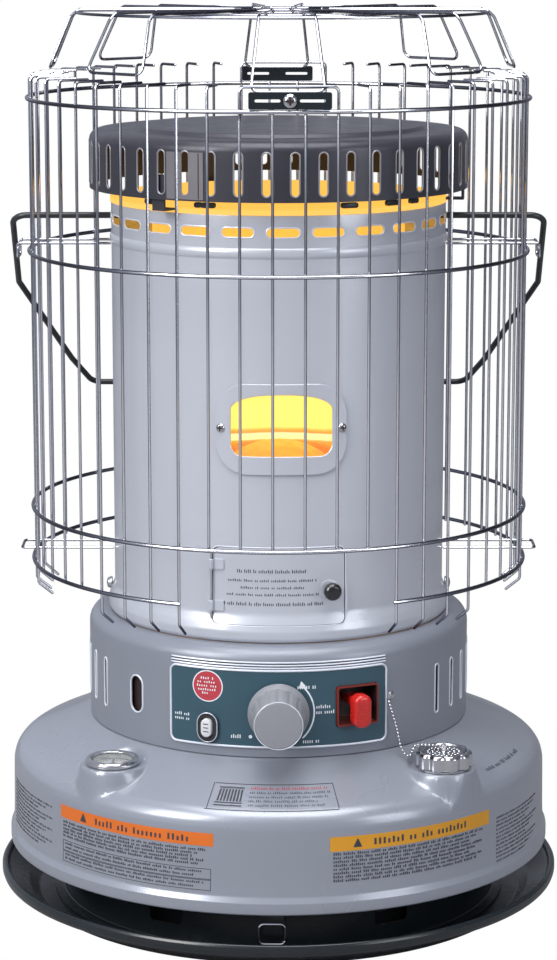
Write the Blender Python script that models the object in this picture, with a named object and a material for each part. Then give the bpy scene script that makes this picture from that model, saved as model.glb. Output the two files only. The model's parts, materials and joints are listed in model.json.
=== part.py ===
"""Kerosene heater: drip tray, fuel tank, round cabinet, heat chamber, hood, wire guard and bail handle.

Metres, +Z up, the front faces -Y, and the origin is the centre of the drip tray's underside.
Angles round the heater are in degrees from the front, positive towards +X.
"""
import math

import bmesh
import bpy
from mathutils import Matrix, Vector

# ---- driving dimensions ----------------------------------------------------
GAP = 0.0004                # clearance between pieces that touch
ROUND = 32                  # facets round the large turned pieces
MIDDLE_ROUND = 16           # facets round the wick, burner, cap, gauge and knob
SMALL_ROUND = 12            # facets round small turned pieces
SHEET = 0.0014              # sheet metal of the cabinet, chamber and hood

TRAY_RIM_R = 0.230
TRAY_FLOOR_R = 0.200
TRAY_RIM_Z = 0.025

TANK_LIP_R = 0.2222
TANK_WALL_R = 0.2192
TANK_LIP_Z = 0.046
TANK_SHEET = 0.0018
TANK_HOLE_R = 0.0440        # hole in the tank's top that the wick housing fills

DRUM_R = 0.155              # round cabinet on the tank
DRUM_Z = 0.1518
DRUM_TOP_Z = 0.2380
PANEL_HALF_ANGLE = 32.5
PANEL_BOTTOM_Z = 0.160
PANEL_TOP_Z = 0.221
PANEL_SHEET = 0.0010

CHAMBER_R = 0.134
CHAMBER_SKIRT_R = 0.139
CHAMBER_Z = DRUM_TOP_Z + GAP
CHAMBER_TOP_Z = 0.5716
CHAMBER_SLOTS = 24
CHAMBER_SLOT_PHASE = 1.6
CHAMBER_SLOT_Z = 0.5570

WINDOW_ANGLE = 1.0
WINDOW_WIDTH = 0.079
WINDOW_BOTTOM_Z = 0.3845
WINDOW_TOP_Z = 0.4335
DOOR_HALF_WIDTH = 0.0522
DOOR_BOTTOM_Z = 0.2522
DOOR_TOP_Z = 0.3125

HOOD_R = 0.151
HOOD_Z = 0.581
HOOD_TOP_Z = 0.627
HOOD_SLOTS = 44
HOOD_SLOT_PHASE = 4.8

GUARD_R = 0.1975            # centre of the upright wires
GUARD_WIRES = 51
GUARD_BRIDGED = (-1, 24)    # first of the four wires under each clamp plate
GUARD_PHASE = -1.25
WIRE = 0.0023
RING_WIRE = 0.0032
GUARD_TOP_Z = 0.670
GUARD_RINGS_Z = (0.652, 0.531, 0.324, 0.281)
GUARD_HOOK = 0.025
GUARD_FOOT_Z = 0.264
GATE = (-22.2, 26.4)        # the lowest ring is cut away here, in front of the door

GRILLE_Z = 0.7204
GRILLE_RINGS_R = (0.163, 0.100, 0.040)
GRILLE_LEGS = 8
GRILLE_SPREAD = 7.4
GRILLE_TURN = 1.3           # the grille sits a little turned, and to the right of the middle
GRILLE_SHIFT = 0.0027

BAIL_Z = 0.5575
BAIL_ROD = 0.005
BAIL_LEAN = 50.93

KNOB_Z = 0.188
KNOB_R = 0.024
KNOB_LENGTH = 0.038
BUTTON_ANGLE = -20.4
BUTTON_Z = 0.1742
IGNITER_ANGLE = 23.1
IGNITER_Z = 0.191

GAUGE_ANGLE = -43.5
GAUGE_R = 0.1885
GAUGE_SEAT_Z = 0.1418
GAUGE_TOP_Z = 0.1470
CAP_ANGLE = 42.0
CAP_R = 0.1925
CAP_SEAT_Z = 0.1404
CAP_TOP_Z = 0.1545
SEAT_BOTTOM_Z = 0.1150      # underside of the seats, inside the tank
FLOAT_PIVOT_Z = 0.1080

WICK_R = 0.0382
DRAFT_TUBE_R = 0.0345
SHAFT_R = 0.003
PINION_R = 0.00645

# The bead chain's route from its anchor on the cabinet to the middle of the fuel cap.
CHAIN_D = 0.0024
CHAIN_ROUTE = (
    (0.0862, -0.1337, 0.1905),
    (0.0885, -0.1345, 0.1830),
    (0.0922, -0.1350, 0.1700),
    (0.0955, -0.1362, 0.1560),
    (0.0990, -0.1375, 0.1492),
    (0.1028, -0.1385, 0.1482),
    (0.1047, -0.1392, 0.1525),
    (0.1068, -0.1400, 0.1569),
    (0.1120, -0.1412, 0.1578),
    (0.1180, -0.1422, 0.1579),
    (0.1262, -0.1429, 0.1580),
)

MATERIALS = {
    # name: (colour, roughness, metallic)
    "blue_grey_paint": ((0.34, 0.38, 0.46), 0.35, 0.3),
    "dark_grey_paint": ((0.08, 0.08, 0.11), 0.40, 0.3),
    "black_paint": ((0.015, 0.017, 0.02), 0.35, 0.2),
    "slate_panel": ((0.07, 0.12, 0.15), 0.45, 0.0),
    "chrome": ((0.80, 0.80, 0.80), 0.12, 1.0),
    "zinc": ((0.55, 0.56, 0.58), 0.35, 1.0),
    "hot_steel": ((0.60, 0.22, 0.05), 0.45, 0.8),
    "light_plastic": ((0.62, 0.64, 0.68), 0.40, 0.0),
    "black_plastic": ((0.02, 0.02, 0.022), 0.40, 0.0),
    "red_plastic": ((0.70, 0.03, 0.02), 0.30, 0.0),
    "clear": ((0.85, 0.88, 0.88), 0.05, 0.0),
    "white_dial": ((0.85, 0.85, 0.82), 0.50, 0.0),
    "wick_fibre": ((0.78, 0.74, 0.64), 0.95, 0.0),
    "brass": ((0.70, 0.48, 0.18), 0.30, 1.0),
    "battery_jacket": ((0.10, 0.25, 0.16), 0.40, 0.2),
}


# ---- helpers ---------------------------------------------------------------
def material(name):
    """The named Principled material, made once."""
    found = bpy.data.materials.get(name)
    if found:
        return found
    colour, roughness, metallic = MATERIALS[name]
    made = bpy.data.materials.new(name)
    made.use_nodes = True
    shader = made.node_tree.nodes["Principled BSDF"]
    shader.inputs["Base Color"].default_value = (*colour, 1.0)
    shader.inputs["Roughness"].default_value = roughness
    shader.inputs["Metallic"].default_value = metallic
    made.diffuse_color = (*colour, 1.0)
    return made


def polar(radius, angle, z):
    """The point at a radius and an angle from the front, at a height."""
    turn = math.radians(angle)
    return Vector((radius * math.sin(turn), -radius * math.cos(turn), z))


def radial_frame(radius, angle, z):
    """Local X runs round the heater, local Y up, and local Z straight out of it."""
    turn = math.radians(angle)
    round_it = Vector((math.cos(turn), math.sin(turn), 0))
    outward = Vector((math.sin(turn), -math.cos(turn), 0))
    frame = Matrix((round_it, Vector((0, 0, 1)), outward)).transposed().to_4x4()
    frame.translation = polar(radius, angle, z)
    return frame


def upright_frame(radius, angle, z):
    """Local Z up, at a place on the tank's top."""
    return Matrix.Translation(polar(radius, angle, z))


def finish(name, bm, paint, frame=None):
    """Turn a bmesh into a named, painted object."""
    bmesh.ops.remove_doubles(bm, verts=bm.verts, dist=1e-6)
    bmesh.ops.recalc_face_normals(bm, faces=bm.faces)
    mesh = bpy.data.meshes.new(name)
    bm.to_mesh(mesh)
    bm.free()
    piece = bpy.data.objects.new(name, mesh)
    bpy.context.scene.collection.objects.link(piece)
    if frame:
        piece.matrix_world = frame
    mesh.materials.append(material(paint))
    mesh.shade_smooth()
    mesh.set_sharp_from_angle(angle=math.radians(35))
    return piece


def turned(name, outline, paint, steps=ROUND, frame=None):
    """Spin a closed outline of (radius, height) points about local Z."""
    bm = bmesh.new()
    points = [bm.verts.new((0, -radius, height)) for radius, height in outline]
    edges = []
    for start, end in zip(points, points[1:] + points[:1]):
        if start.co.y or end.co.y:
            edges.append(bm.edges.new((start, end)))
    bmesh.ops.spin(bm, geom=points + edges, cent=(0, 0, 0), axis=(0, 0, 1),
                   angle=math.tau, steps=steps, use_merge=True)
    return finish(name, bm, paint, frame)


def thicken(path, wall):
    """Closed outline of a sheet: a path of (radius, height) points and its copy on the right side."""
    points = [Vector(point) for point in path]
    inner = []
    for index, point in enumerate(points):
        ahead = (points[min(index + 1, len(points) - 1)] - points[min(index, len(points) - 2)]).normalized()
        behind = (points[max(index, 1)] - points[max(index - 1, 0)]).normalized()
        side = Vector((ahead.y + behind.y, -ahead.x - behind.x)).normalized()
        reach = wall / max(0.5, side.dot(Vector((ahead.y, -ahead.x))))
        inner.append(point + side * reach)
    return [tuple(point) for point in points + inner[::-1]]


def arc(centre, radius, start, end, steps):
    """Points of a round corner of an outline, angles in degrees."""
    turns = [math.radians(start + (end - start) * step / steps) for step in range(steps + 1)]
    return [(centre[0] + radius * math.cos(turn), centre[1] + radius * math.sin(turn)) for turn in turns]


def rectangle(width, height):
    """Outline of a rectangle about its middle."""
    right, top = width / 2, height / 2
    return [(-right, -top), (right, -top), (right, top), (-right, top)]


def rounded_rectangle(width, height, corner, steps=3):
    """Outline of a rectangle with round corners, about its middle."""
    right, top = width / 2 - corner, height / 2 - corner
    return (arc((right, -top), corner, -90, 0, steps) + arc((right, top), corner, 0, 90, steps)
            + arc((-right, top), corner, 90, 180, steps) + arc((-right, -top), corner, 180, 270, steps))


def polygon(sides, radius, phase=0.0):
    """Outline of a regular polygon."""
    turns = [math.radians(phase) + math.tau * side / sides for side in range(sides)]
    return [(radius * math.cos(turn), radius * math.sin(turn)) for turn in turns]


def add_prism(bm, outline, low, high, frame=None):
    """Add a prism to a bmesh: an outline in local XY, from low to high along local Z."""
    bottom = [bm.verts.new((x, y, low)) for x, y in outline]
    face = bm.faces.new(bottom)
    grown = bmesh.ops.extrude_face_region(bm, geom=[face])["geom"]
    top = [item for item in grown if isinstance(item, bmesh.types.BMVert)]
    bmesh.ops.translate(bm, verts=top, vec=(0, 0, high - low))
    if frame:
        bmesh.ops.transform(bm, verts=bottom + top, matrix=frame)


def prism(name, outline, low, high, paint, frame=None):
    """An object made of one prism."""
    bm = bmesh.new()
    add_prism(bm, outline, low, high)
    return finish(name, bm, paint, frame)


def cutter(shapes):
    """One cutting object made of separate prisms: (outline, low, high, frame) each."""
    bm = bmesh.new()
    for outline, low, high, frame in shapes:
        add_prism(bm, outline, low, high, frame)
    tool = finish("cutter", bm, "zinc")
    tool.hide_render = True
    tool.display_type = "WIRE"
    return tool


def boolean(piece, tool, operation="DIFFERENCE"):
    """Cut, join or intersect a piece with a tool object, which is used up."""
    modifier = piece.modifiers.new("boolean", "BOOLEAN")
    modifier.operation = operation
    modifier.solver = "EXACT"
    modifier.object = tool
    bpy.context.view_layer.update()
    mesh = bpy.data.meshes.new_from_object(piece.evaluated_get(bpy.context.evaluated_depsgraph_get()))
    piece.modifiers.clear()
    piece.data = mesh
    bpy.data.objects.remove(tool)
    return piece


def wires(name, paths, diameter, paint, sides=4, closed=False):
    """An object made of round wires along paths of points."""
    curve = bpy.data.curves.new(name, "CURVE")
    curve.dimensions = "3D"
    curve.bevel_depth = diameter / 2
    curve.bevel_resolution = (sides - 4) // 2
    curve.use_fill_caps = True
    for path in paths:
        spline = curve.splines.new("POLY")
        spline.points.add(len(path) - 1)
        for knot, point in zip(spline.points, path):
            knot.co = (*point, 1)
        spline.use_cyclic_u = closed
    source = bpy.data.objects.new(name, curve)
    bpy.context.scene.collection.objects.link(source)
    bpy.context.view_layer.update()
    bm = bmesh.new()
    bm.from_mesh(source.evaluated_get(bpy.context.evaluated_depsgraph_get()).to_mesh())
    bpy.data.objects.remove(source)
    return finish(name, bm, paint)


def ring_path(radius, z, steps=ROUND, start=0.0, sweep=360.0):
    """Points round the heater; a full turn leaves out the repeated last point."""
    count = steps if sweep == 360.0 else steps + 1
    return [polar(radius, start + sweep * step / steps, z) for step in range(count)]


def bent(corners, bend, steps=3):
    """A wire's path through corner points, each corner rounded with the bend radius."""
    path = [Vector(corners[0])]
    for before, corner, after in zip(corners, corners[1:], corners[2:]):
        corner = Vector(corner)
        to_before = (Vector(before) - corner).normalized()
        to_after = (Vector(after) - corner).normalized()
        half = to_before.angle(to_after) / 2
        trim = bend / math.tan(half)
        centre = corner + (to_before + to_after).normalized() * (bend / math.sin(half))
        start = corner + to_before * trim - centre
        end = corner + to_after * trim - centre
        path += [centre + start.slerp(end, step / steps).normalized() * bend for step in range(steps + 1)]
    path.append(Vector(corners[-1]))
    return path


def curved_plate(name, inner, thickness, angle, middle_z, outline, paint):
    """A plate bent round the heater, with an outline drawn in the plane across the angle."""
    half = max(abs(y) for _, y in outline) + 0.002
    band = [(inner, middle_z - half), (inner + thickness, middle_z - half),
            (inner + thickness, middle_z + half), (inner, middle_z + half)]
    plate = turned(name, band, paint)
    reach = cutter([(outline, -0.06, 0.05, radial_frame(inner, angle, middle_z))])
    return boolean(plate, reach, "INTERSECT")


def near(angle, target, reach):
    """Whether an angle is within reach of a target, round the circle."""
    return abs((angle - target + 180) % 360 - 180) < reach


def slots(count, phase, width, height, z, radius):
    """Cutting prisms of slots round the heater, lined up with the handle's ends at the sides."""
    outline = rectangle(width, height)
    cuts = []
    for index in range(count):
        angle = phase + 360 * index / count
        for handle_end in (90, 270):
            if near(angle, handle_end, 2.5):
                angle = handle_end
        cuts.append((outline, -0.006, 0.006, radial_frame(radius, angle, z)))
    return cuts


# ---- base: tray, tank and what is in it -------------------------------------
def make_tray():
    sheet = 0.0016
    path = [(0, sheet), (TRAY_FLOOR_R, sheet), (0.2085, 0.0080), (0.2245, 0.0165),
            (TRAY_RIM_R - sheet, 0.0205), (0.2270, TRAY_RIM_Z - 0.0004)]
    turned("drip_tray", thicken(path, sheet), "black_paint")


def make_base_ring():
    """The skirt that holds the tank above the tray, with air holes for the draft tube."""
    foot, top = 0.0016 + GAP, TANK_LIP_Z - GAP
    path = [(0.168, top), (0.176, top), (0.178, foot + SHEET), (0.186, foot + SHEET)]
    ring = turned("tank_base_ring", thicken(path, SHEET), "black_paint", MIDDLE_ROUND)
    holes = [(rectangle(0.030, 0.016), -0.012, 0.012, radial_frame(0.177, 30 + 60 * side, 0.025))
             for side in range(6)]
    boolean(ring, cutter(holes))


def make_tray_clip():
    """Wire clip at the front that holds the tray to the tank's base ring."""
    width, low, high = 0.0205, 0.0120, 0.0285
    frame = radial_frame(0.1890, -1.5, 0)
    plate = prism("tray_clip", [(-width / 2, low), (width / 2, low), (width / 2, 0.0300),
                                (0.0085, high + 0.009), (-0.0085, high + 0.009), (-width / 2, 0.0300)],
                  0.0, 0.0016, "black_paint", frame)
    boolean(plate, cutter([(rounded_rectangle(0.0155, 0.0130, 0.002), -0.002, 0.004,
                            radial_frame(0.1890, -1.5, 0.0215))]))


def tank_top():
    """Profile of the tank's top, from its middle hole to the end of the shoulder."""
    return [(TANK_HOLE_R, 0.1512), (DRUM_R, 0.1512)] + arc((0.2052, 0.1135), 0.0138, 72, 0, 2)


def make_tank():
    """Hollow tank with a round seat each for the gauge and the filler, level in the sloping top."""
    outline = tank_top() + [(TANK_WALL_R, 0.0650), (TANK_LIP_R, 0.0560), (TANK_LIP_R, TANK_LIP_Z),
                            (DRAFT_TUBE_R + GAP, TANK_LIP_Z)]
    tank = turned("fuel_tank", thicken(outline, TANK_SHEET), "blue_grey_paint")
    for radius, angle, seat_z, bore in ((GAUGE_R, GAUGE_ANGLE, GAUGE_SEAT_Z, 0.0152),
                                        (CAP_R, CAP_ANGLE, CAP_SEAT_Z, 0.0170)):
        place = upright_frame(radius, angle, 0)
        plug = cutter([(polygon(MIDDLE_ROUND, 0.0262), SEAT_BOTTOM_Z, 0.1700, place)])
        below_top = turned("below_top", [(0, 0.1120), (0, 0.1512)] + tank_top()[1:] + [(0.2185, 0.1120)],
                           "blue_grey_paint")
        boolean(plug, below_top, "INTERSECT")
        boolean(tank, plug, "UNION")
        boolean(tank, cutter([(polygon(MIDDLE_ROUND, 0.0245), SEAT_BOTTOM_Z, seat_z, place)]), "UNION")
        boolean(tank, cutter([(polygon(MIDDLE_ROUND, 0.0240), seat_z, 0.1700, place)]))
        boolean(tank, cutter([(polygon(MIDDLE_ROUND, bore), 0.1000, 0.1600, place)]))
    dial_step = (polygon(MIDDLE_ROUND, 0.0180), 0.1388, 0.1500, upright_frame(GAUGE_R, GAUGE_ANGLE, 0))
    boolean(tank, cutter([dial_step]))


def make_filler():
    neck = [(0.0146, 0.1080), (0.0164, 0.1080), (0.0164, 0.1408), (0.0212, 0.1408), (0.0212, 0.1420),
            (0.0164, 0.1420), (0.0164, 0.1484), (0.0146, 0.1484)]
    turned("filler_neck", neck, "zinc", MIDDLE_ROUND, upright_frame(CAP_R, CAP_ANGLE, 0))
    cap = [(0, 0.1490), (0.0172, 0.1490), (0.0172, 0.1424), (0.0225, 0.1424), (0.0225, 0.1520),
           (0.0205, CAP_TOP_Z), (0.0175, CAP_TOP_Z), (0.0165, 0.1530), (0.0020, 0.1530),
           (0.0020, 0.1592), (0, 0.1592)]
    piece = turned("fuel_cap", cap, "chrome", MIDDLE_ROUND, upright_frame(CAP_R, CAP_ANGLE, 0))
    grips = []
    for index in range(8):
        turn = Matrix.Rotation(math.radians(45 * index + 22.5), 4, "Z")
        grips.append((polygon(6, 0.0032), 0.1400, 0.1560,
                      upright_frame(CAP_R, CAP_ANGLE, 0) @ turn @ Matrix.Translation((0.0243, 0, 0))))
    boolean(piece, cutter(grips))


def make_gauge():
    frame = upright_frame(GAUGE_R, GAUGE_ANGLE, 0)
    bezel = [(0.0170, 0.1422), (0.0215, 0.1422), (0.0215, 0.1448), (0.0195, GAUGE_TOP_Z),
             (0.0172, GAUGE_TOP_Z), (0.0160, 0.1464), (0.0160, 0.1456), (0.0170, 0.1456)]
    turned("gauge_bezel", bezel, "chrome", MIDDLE_ROUND, frame)
    lens = [(0, 0.1438), (0.0166, 0.1438), (0.0166, 0.1452), (0, 0.1452)]
    turned("gauge_lens", lens, "clear", MIDDLE_ROUND, frame)
    dial = [(0.0022, 0.1392), (0.0176, 0.1392), (0.0176, 0.1400), (0.0022, 0.1400)]
    turned("gauge_dial", dial, "white_dial", MIDDLE_ROUND, frame)
    needle = prism("gauge_needle", [(-0.0014, -0.0040), (0.0014, -0.0040), (0.0010, 0.0120),
                                    (0, 0.0140), (-0.0010, 0.0120)], 0.1408, 0.1416, "red_plastic", frame)
    stem = prism("stem", polygon(8, 0.0012), 0.1125, 0.1422, "zinc", frame)
    boolean(needle, stem, "UNION")


def make_float():
    """Float and wire arm, hinged under the gauge, with the arm reaching towards the middle."""
    lean = Matrix.Rotation(math.radians(-20), 4, "X")
    frame = radial_frame(GAUGE_R, GAUGE_ANGLE, FLOAT_PIVOT_Z) @ lean
    arm = prism("float_arm", [(-0.0012, -0.0012), (0.0012, -0.0012), (0.0012, 0.0012), (-0.0012, 0.0012)],
                -0.0560, 0.0020, "brass", frame)
    hub = prism("hub", polygon(10, 0.0030), -0.0035, 0.0035, "brass",
                frame @ Matrix.Rotation(math.radians(90), 4, "Y"))
    boolean(arm, hub, "UNION")
    float_frame = frame @ Matrix.Translation((0, 0, -0.0660))
    prism("gauge_float", rounded_rectangle(0.030, 0.020, 0.006, 2), -0.0095, 0.0095, "black_plastic",
          float_frame)


# ---- wick, burner and ignition ----------------------------------------------
def make_wick():
    turned("draft_tube", [(0.0328, 0.0440), (DRAFT_TUBE_R, 0.0440), (DRAFT_TUBE_R, 0.2500),
                          (0.0328, 0.2500)], "zinc", MIDDLE_ROUND)
    turned("wick", [(0.0350, 0.1250), (WICK_R, 0.1250), (WICK_R, 0.2530), (0.0350, 0.2530)],
           "wick_fibre", MIDDLE_ROUND)
    sleeve = turned("wick_carrier", [(0.0386, 0.1400), (0.0396, 0.1400), (0.0396, 0.1960),
                                     (0.0386, 0.1960)], "zinc", MIDDLE_ROUND)
    pitch = PINION_R + 0.0016
    rack = prism("rack", [(-pitch - 0.0020, 0), (-pitch + 0.0004, 0), (-pitch + 0.0004, 0.0134),
                          (-pitch - 0.0020, 0.0134)], 0.1702, 0.2080, "zinc",
                 Matrix.Translation((0, -0.0510, 0)))
    boolean(sleeve, rack, "UNION")
    housing = turned("wick_housing", [(0.0400, 0.1300), (0.0416, 0.1300), (0.0416, 0.1516),
                                      (0.0600, 0.1516), (0.0600, 0.1534), (0.0416, 0.1534),
                                      (0.0416, 0.2495), (0.0400, 0.2495)], "zinc", MIDDLE_ROUND)
    channel = [(-0.0125, 0.1460), (-0.0050, 0.1460), (-0.0050, 0.2085), (-0.0125, 0.2085)]
    boolean(housing, cutter([(channel, -0.020, 0.020, radial_frame(0.0400, 0, 0))]))


def make_burner():
    base = DRUM_TOP_Z + GAP
    path = [(0.0895, base), (0.0580, base), (0.0580, 0.3600), (0.0500, 0.3650)]
    outer = turned("outer_burner", thicken(path, 0.0010), "hot_steel", MIDDLE_ROUND)
    holes = [(rectangle(0.0070, 0.0500), -0.006, 0.006, radial_frame(0.058, 45 * turn + 11.25, 0.320))
             for turn in range(8)]
    boolean(outer, cutter(holes))
    side = [(0.0312, 0.2504), (0.0338, 0.2504), (0.0338, 0.3500), (0.0440, 0.3540), (0.0440, 0.3570)]
    dome = arc((0, 0.3104), 0.0641, 48.5, 90, 4)[:-1]
    inside = [(0, 0.3745), (0, 0.3733), (0.0290, 0.3568), (0.0312, 0.3520)]
    turned("inner_burner", side + dome + inside, "hot_steel", MIDDLE_ROUND)


def make_igniter():
    frame = radial_frame(DRUM_R, IGNITER_ANGLE, IGNITER_Z)
    box = prism("igniter_housing", rounded_rectangle(0.0350, 0.0320, 0.002, 1), -0.0240, 0.0030,
                "red_plastic", frame)
    boolean(box, cutter([(rounded_rectangle(0.0326, 0.0296, 0.002, 1), -0.0226, 0.0100, frame)]))
    slot = [(-0.0040, -0.0060), (0.0010, -0.0060), (0.0010, 0.0120), (-0.0040, 0.0120)]
    boolean(box, cutter([(slot, -0.0300, -0.0200, frame)]))
    pivot = frame @ Matrix.Translation((0, 0.0030, -0.0150))
    sideways = pivot @ Matrix.Rotation(math.radians(90), 4, "Y")
    # in the sideways frame, local X points into the heater and local Y up
    lever = prism("igniter_lever", [(-0.0225, -0.0035), (0.0030, -0.0035), (0.0030, 0.0035),
                                    (-0.0225, 0.0045)], -0.0060, 0.0040, "red_plastic", sideways)
    paddle = prism("paddle", [(-0.0300, -0.0190), (-0.0220, -0.0200), (-0.0215, 0.0040), (-0.0250, 0.0090),
                              (-0.0310, 0.0020), (-0.0325, -0.0100)], -0.0095, 0.0075, "red_plastic",
                   sideways)
    boolean(lever, paddle, "UNION")
    tail = prism("tail", [(0.0020, -0.0015), (0.0220, -0.0015), (0.0220, 0.0015), (0.0020, 0.0015)],
                 -0.0028, -0.0002, "zinc", sideways)
    boolean(lever, tail, "UNION")
    # arm that swings the glow coil to the wick
    pivot = radial_frame(0.0530, IGNITER_ANGLE, 0.2050) @ Matrix.Rotation(math.radians(90), 4, "Y")
    arm = prism("igniter_arm", [(-0.0015, -0.0020), (0.0015, -0.0020), (0.0015, 0.0530), (-0.0015, 0.0530)],
                -0.0025, 0.0025, "zinc", pivot)
    crank = prism("crank", [(-0.0560, -0.0030), (0.0010, -0.0030), (0.0010, 0.0005), (-0.0560, 0.0005)],
                  -0.0020, 0.0020, "zinc", pivot)
    boolean(arm, crank, "UNION")


# ---- cabinet and controls -----------------------------------------------------
def panel_cutouts(clearance):
    """Openings for the knob shaft, the shut-off button and the igniter."""
    knob = polygon(12, 0.0045 + clearance)
    button = rounded_rectangle(0.0104 + 2 * clearance, 0.0168 + 2 * clearance, 0.0050, 3)
    igniter = rounded_rectangle(0.0358 + 2 * clearance, 0.0328 + 2 * clearance, 0.002, 1)
    return [(knob, -0.01, 0.01, radial_frame(DRUM_R, 0, KNOB_Z)),
            (button, -0.01, 0.01, radial_frame(DRUM_R, BUTTON_ANGLE, BUTTON_Z)),
            (igniter, -0.01, 0.01, radial_frame(DRUM_R, IGNITER_ANGLE, IGNITER_Z))]


def make_drum():
    path = ([(0.0850, DRUM_TOP_Z)] + arc((DRUM_R - 0.0110, DRUM_TOP_Z - 0.0110), 0.0110, 90, 0, 2)
            + [(DRUM_R, DRUM_Z)])
    drum = turned("cabinet_drum", thicken(path, SHEET), "blue_grey_paint")
    hatch = rounded_rectangle(0.0820, 0.0460, 0.004, 1)
    vents = []
    for index in range(9):
        for side in (1, -1):
            angle = side * (54.1 + 9.0 * index)
            if abs(angle) < 130 and angle != -54.1:
                vents.append((rectangle(0.0050, 0.0400), -0.006, 0.006,
                              radial_frame(DRUM_R, angle, 0.1900)))
    round_hole = (rounded_rectangle(0.0140, 0.0300, 0.0065, 2), -0.006, 0.006,
                  radial_frame(DRUM_R, -46.2, 0.1900))
    boolean(drum, cutter(vents + [round_hole] + panel_cutouts(0.0)
                         + [(hatch, -0.01, 0.01, radial_frame(DRUM_R, 180, 0.1945)),
                            (polygon(8, 0.0018), -0.01, 0.01, radial_frame(DRUM_R, 34.2, 0.1945))]))
    hanger = cutter([([(-0.0960, -0.0060), (-0.0840, -0.0060), (-0.0840, -0.0030), (-0.0960, -0.0030)],
                      0.2190, DRUM_TOP_Z - 0.0010, None)])
    boolean(drum, hanger, "UNION")


def make_panel():
    half_width = (DRUM_R + PANEL_SHEET) * math.sin(math.radians(PANEL_HALF_ANGLE))
    middle = (PANEL_BOTTOM_Z + PANEL_TOP_Z) / 2
    outline = rounded_rectangle(2 * half_width, PANEL_TOP_Z - PANEL_BOTTOM_Z, 0.005, 2)
    panel = curved_plate("control_panel", DRUM_R + GAP, PANEL_SHEET, 0, middle, outline, "slate_panel")
    boolean(panel, cutter(panel_cutouts(0.0)))


def make_knob():
    frame = radial_frame(DRUM_R + PANEL_SHEET + 0.0010, 0, KNOB_Z)
    profile = [(0.0036, 0.0), (KNOB_R, 0.0), (KNOB_R, 0.0035), (0.0215, 0.0060), (0.0200, 0.0080),
               (0.0184, KNOB_LENGTH - 0.0015), (0.0165, KNOB_LENGTH), (0, KNOB_LENGTH),
               (0, 0.0200), (0.0036, 0.0200)]
    knob = turned("wick_knob", profile, "light_plastic", MIDDLE_ROUND, frame)
    flutes = []
    for index in range(8):
        turn = Matrix.Rotation(math.radians(45 * index), 4, "Z")
        flutes.append((polygon(4, 0.0026), 0.0090, 0.0500,
                       frame @ turn @ Matrix.Translation((0.0206, 0, 0))))
    boolean(knob, cutter(flutes))
    inner_end = -(DRUM_R + PANEL_SHEET + 0.0010) + 0.0450
    shaft = prism("knob_shaft", polygon(12, SHAFT_R), inner_end, 0.0195, "zinc", frame)
    teeth = 8
    gear = []
    for tooth in range(teeth):
        for part, radius in ((0.0, 0.0048), (0.5, 0.0062)):
            turn = math.tau * (tooth + part) / teeth
            gear.append((radius * math.cos(turn), radius * math.sin(turn)))
    pinion = prism("pinion", gear, inner_end, inner_end + 0.0060, "zinc", frame)
    boolean(shaft, pinion, "UNION")


def make_shutoff():
    frame = radial_frame(DRUM_R, BUTTON_ANGLE, BUTTON_Z)
    bezel = prism("shutoff_bezel", rounded_rectangle(0.0155, 0.0215, 0.0074, 3), 0.0018, 0.0042,
                  "black_plastic", frame)
    boolean(bezel, cutter([(rounded_rectangle(0.0106, 0.0170, 0.0050, 3), -0.004, 0.008, frame)]))
    prism("shutoff_button", rounded_rectangle(0.0096, 0.0160, 0.0046, 3), -0.0080, 0.0085,
          "light_plastic", frame)


def make_battery_case():
    """Tray for two cells behind a hatch in the back of the cabinet."""
    frame = radial_frame(DRUM_R, 180, 0.1945)
    case = prism("battery_case", rounded_rectangle(0.0780, 0.0420, 0.003, 1), -0.0860, -0.0100,
                 "black_plastic", frame)
    boolean(case, cutter([(rounded_rectangle(0.0750, 0.0390, 0.003, 1), -0.0840, 0.0100, frame)]))
    for index, side in enumerate((-1, 1)):
        cell = frame @ Matrix.Translation((side * 0.0180, 0, 0))
        body = turned(f"battery_{index + 1}", [(0, -0.0825), (0.0165, -0.0825), (0.0165, -0.0245),
                                               (0.0050, -0.0245), (0.0050, -0.0225), (0, -0.0225)],
                      "battery_jacket", SMALL_ROUND, cell)
        body.location.z = frame.translation.z
    outline = rounded_rectangle(0.0812, 0.0452, 0.004, 1)
    curved_plate("battery_cover", DRUM_R - SHEET, SHEET, 180, 0.1945, outline, "blue_grey_paint")


def make_tip_weight():
    """Pendulum that trips the shut-off when the heater is knocked over."""
    outline = [(0, 0.1700), (0.0140, 0.1700), (0.0140, 0.1880), (0.0020, 0.1880), (0.0020, 0.2280),
               (0, 0.2280)]
    turned("tip_over_weight", outline, "brass", SMALL_ROUND, Matrix.Translation((-0.0900, 0, 0)))


# ---- heat chamber ----------------------------------------------------------------
def window_outline(width, height, corner, crown):
    """Window shape: round corners and an arched top."""
    half = width / 2
    low, high = -height / 2, height / 2 - crown
    bottom = arc((half - corner, low + corner), corner, -90, 0, 2)
    shoulder, crest = high - corner * 0.1, height / 2 - crown * 0.2
    top = [(half, high - corner), (half - corner * 0.4, shoulder), (half * 0.5, crest), (0, height / 2),
           (-half * 0.5, crest), (-half + corner * 0.4, shoulder), (-half, high - corner)]
    return bottom + top + arc((-half + corner, low + corner), corner, 180, 270, 2)


def chamber_path():
    return [(0.1240, CHAMBER_TOP_Z), (CHAMBER_R, CHAMBER_TOP_Z), (CHAMBER_R, 0.2560),
            (CHAMBER_SKIRT_R, 0.2450), (CHAMBER_SKIRT_R, CHAMBER_Z)]


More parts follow.
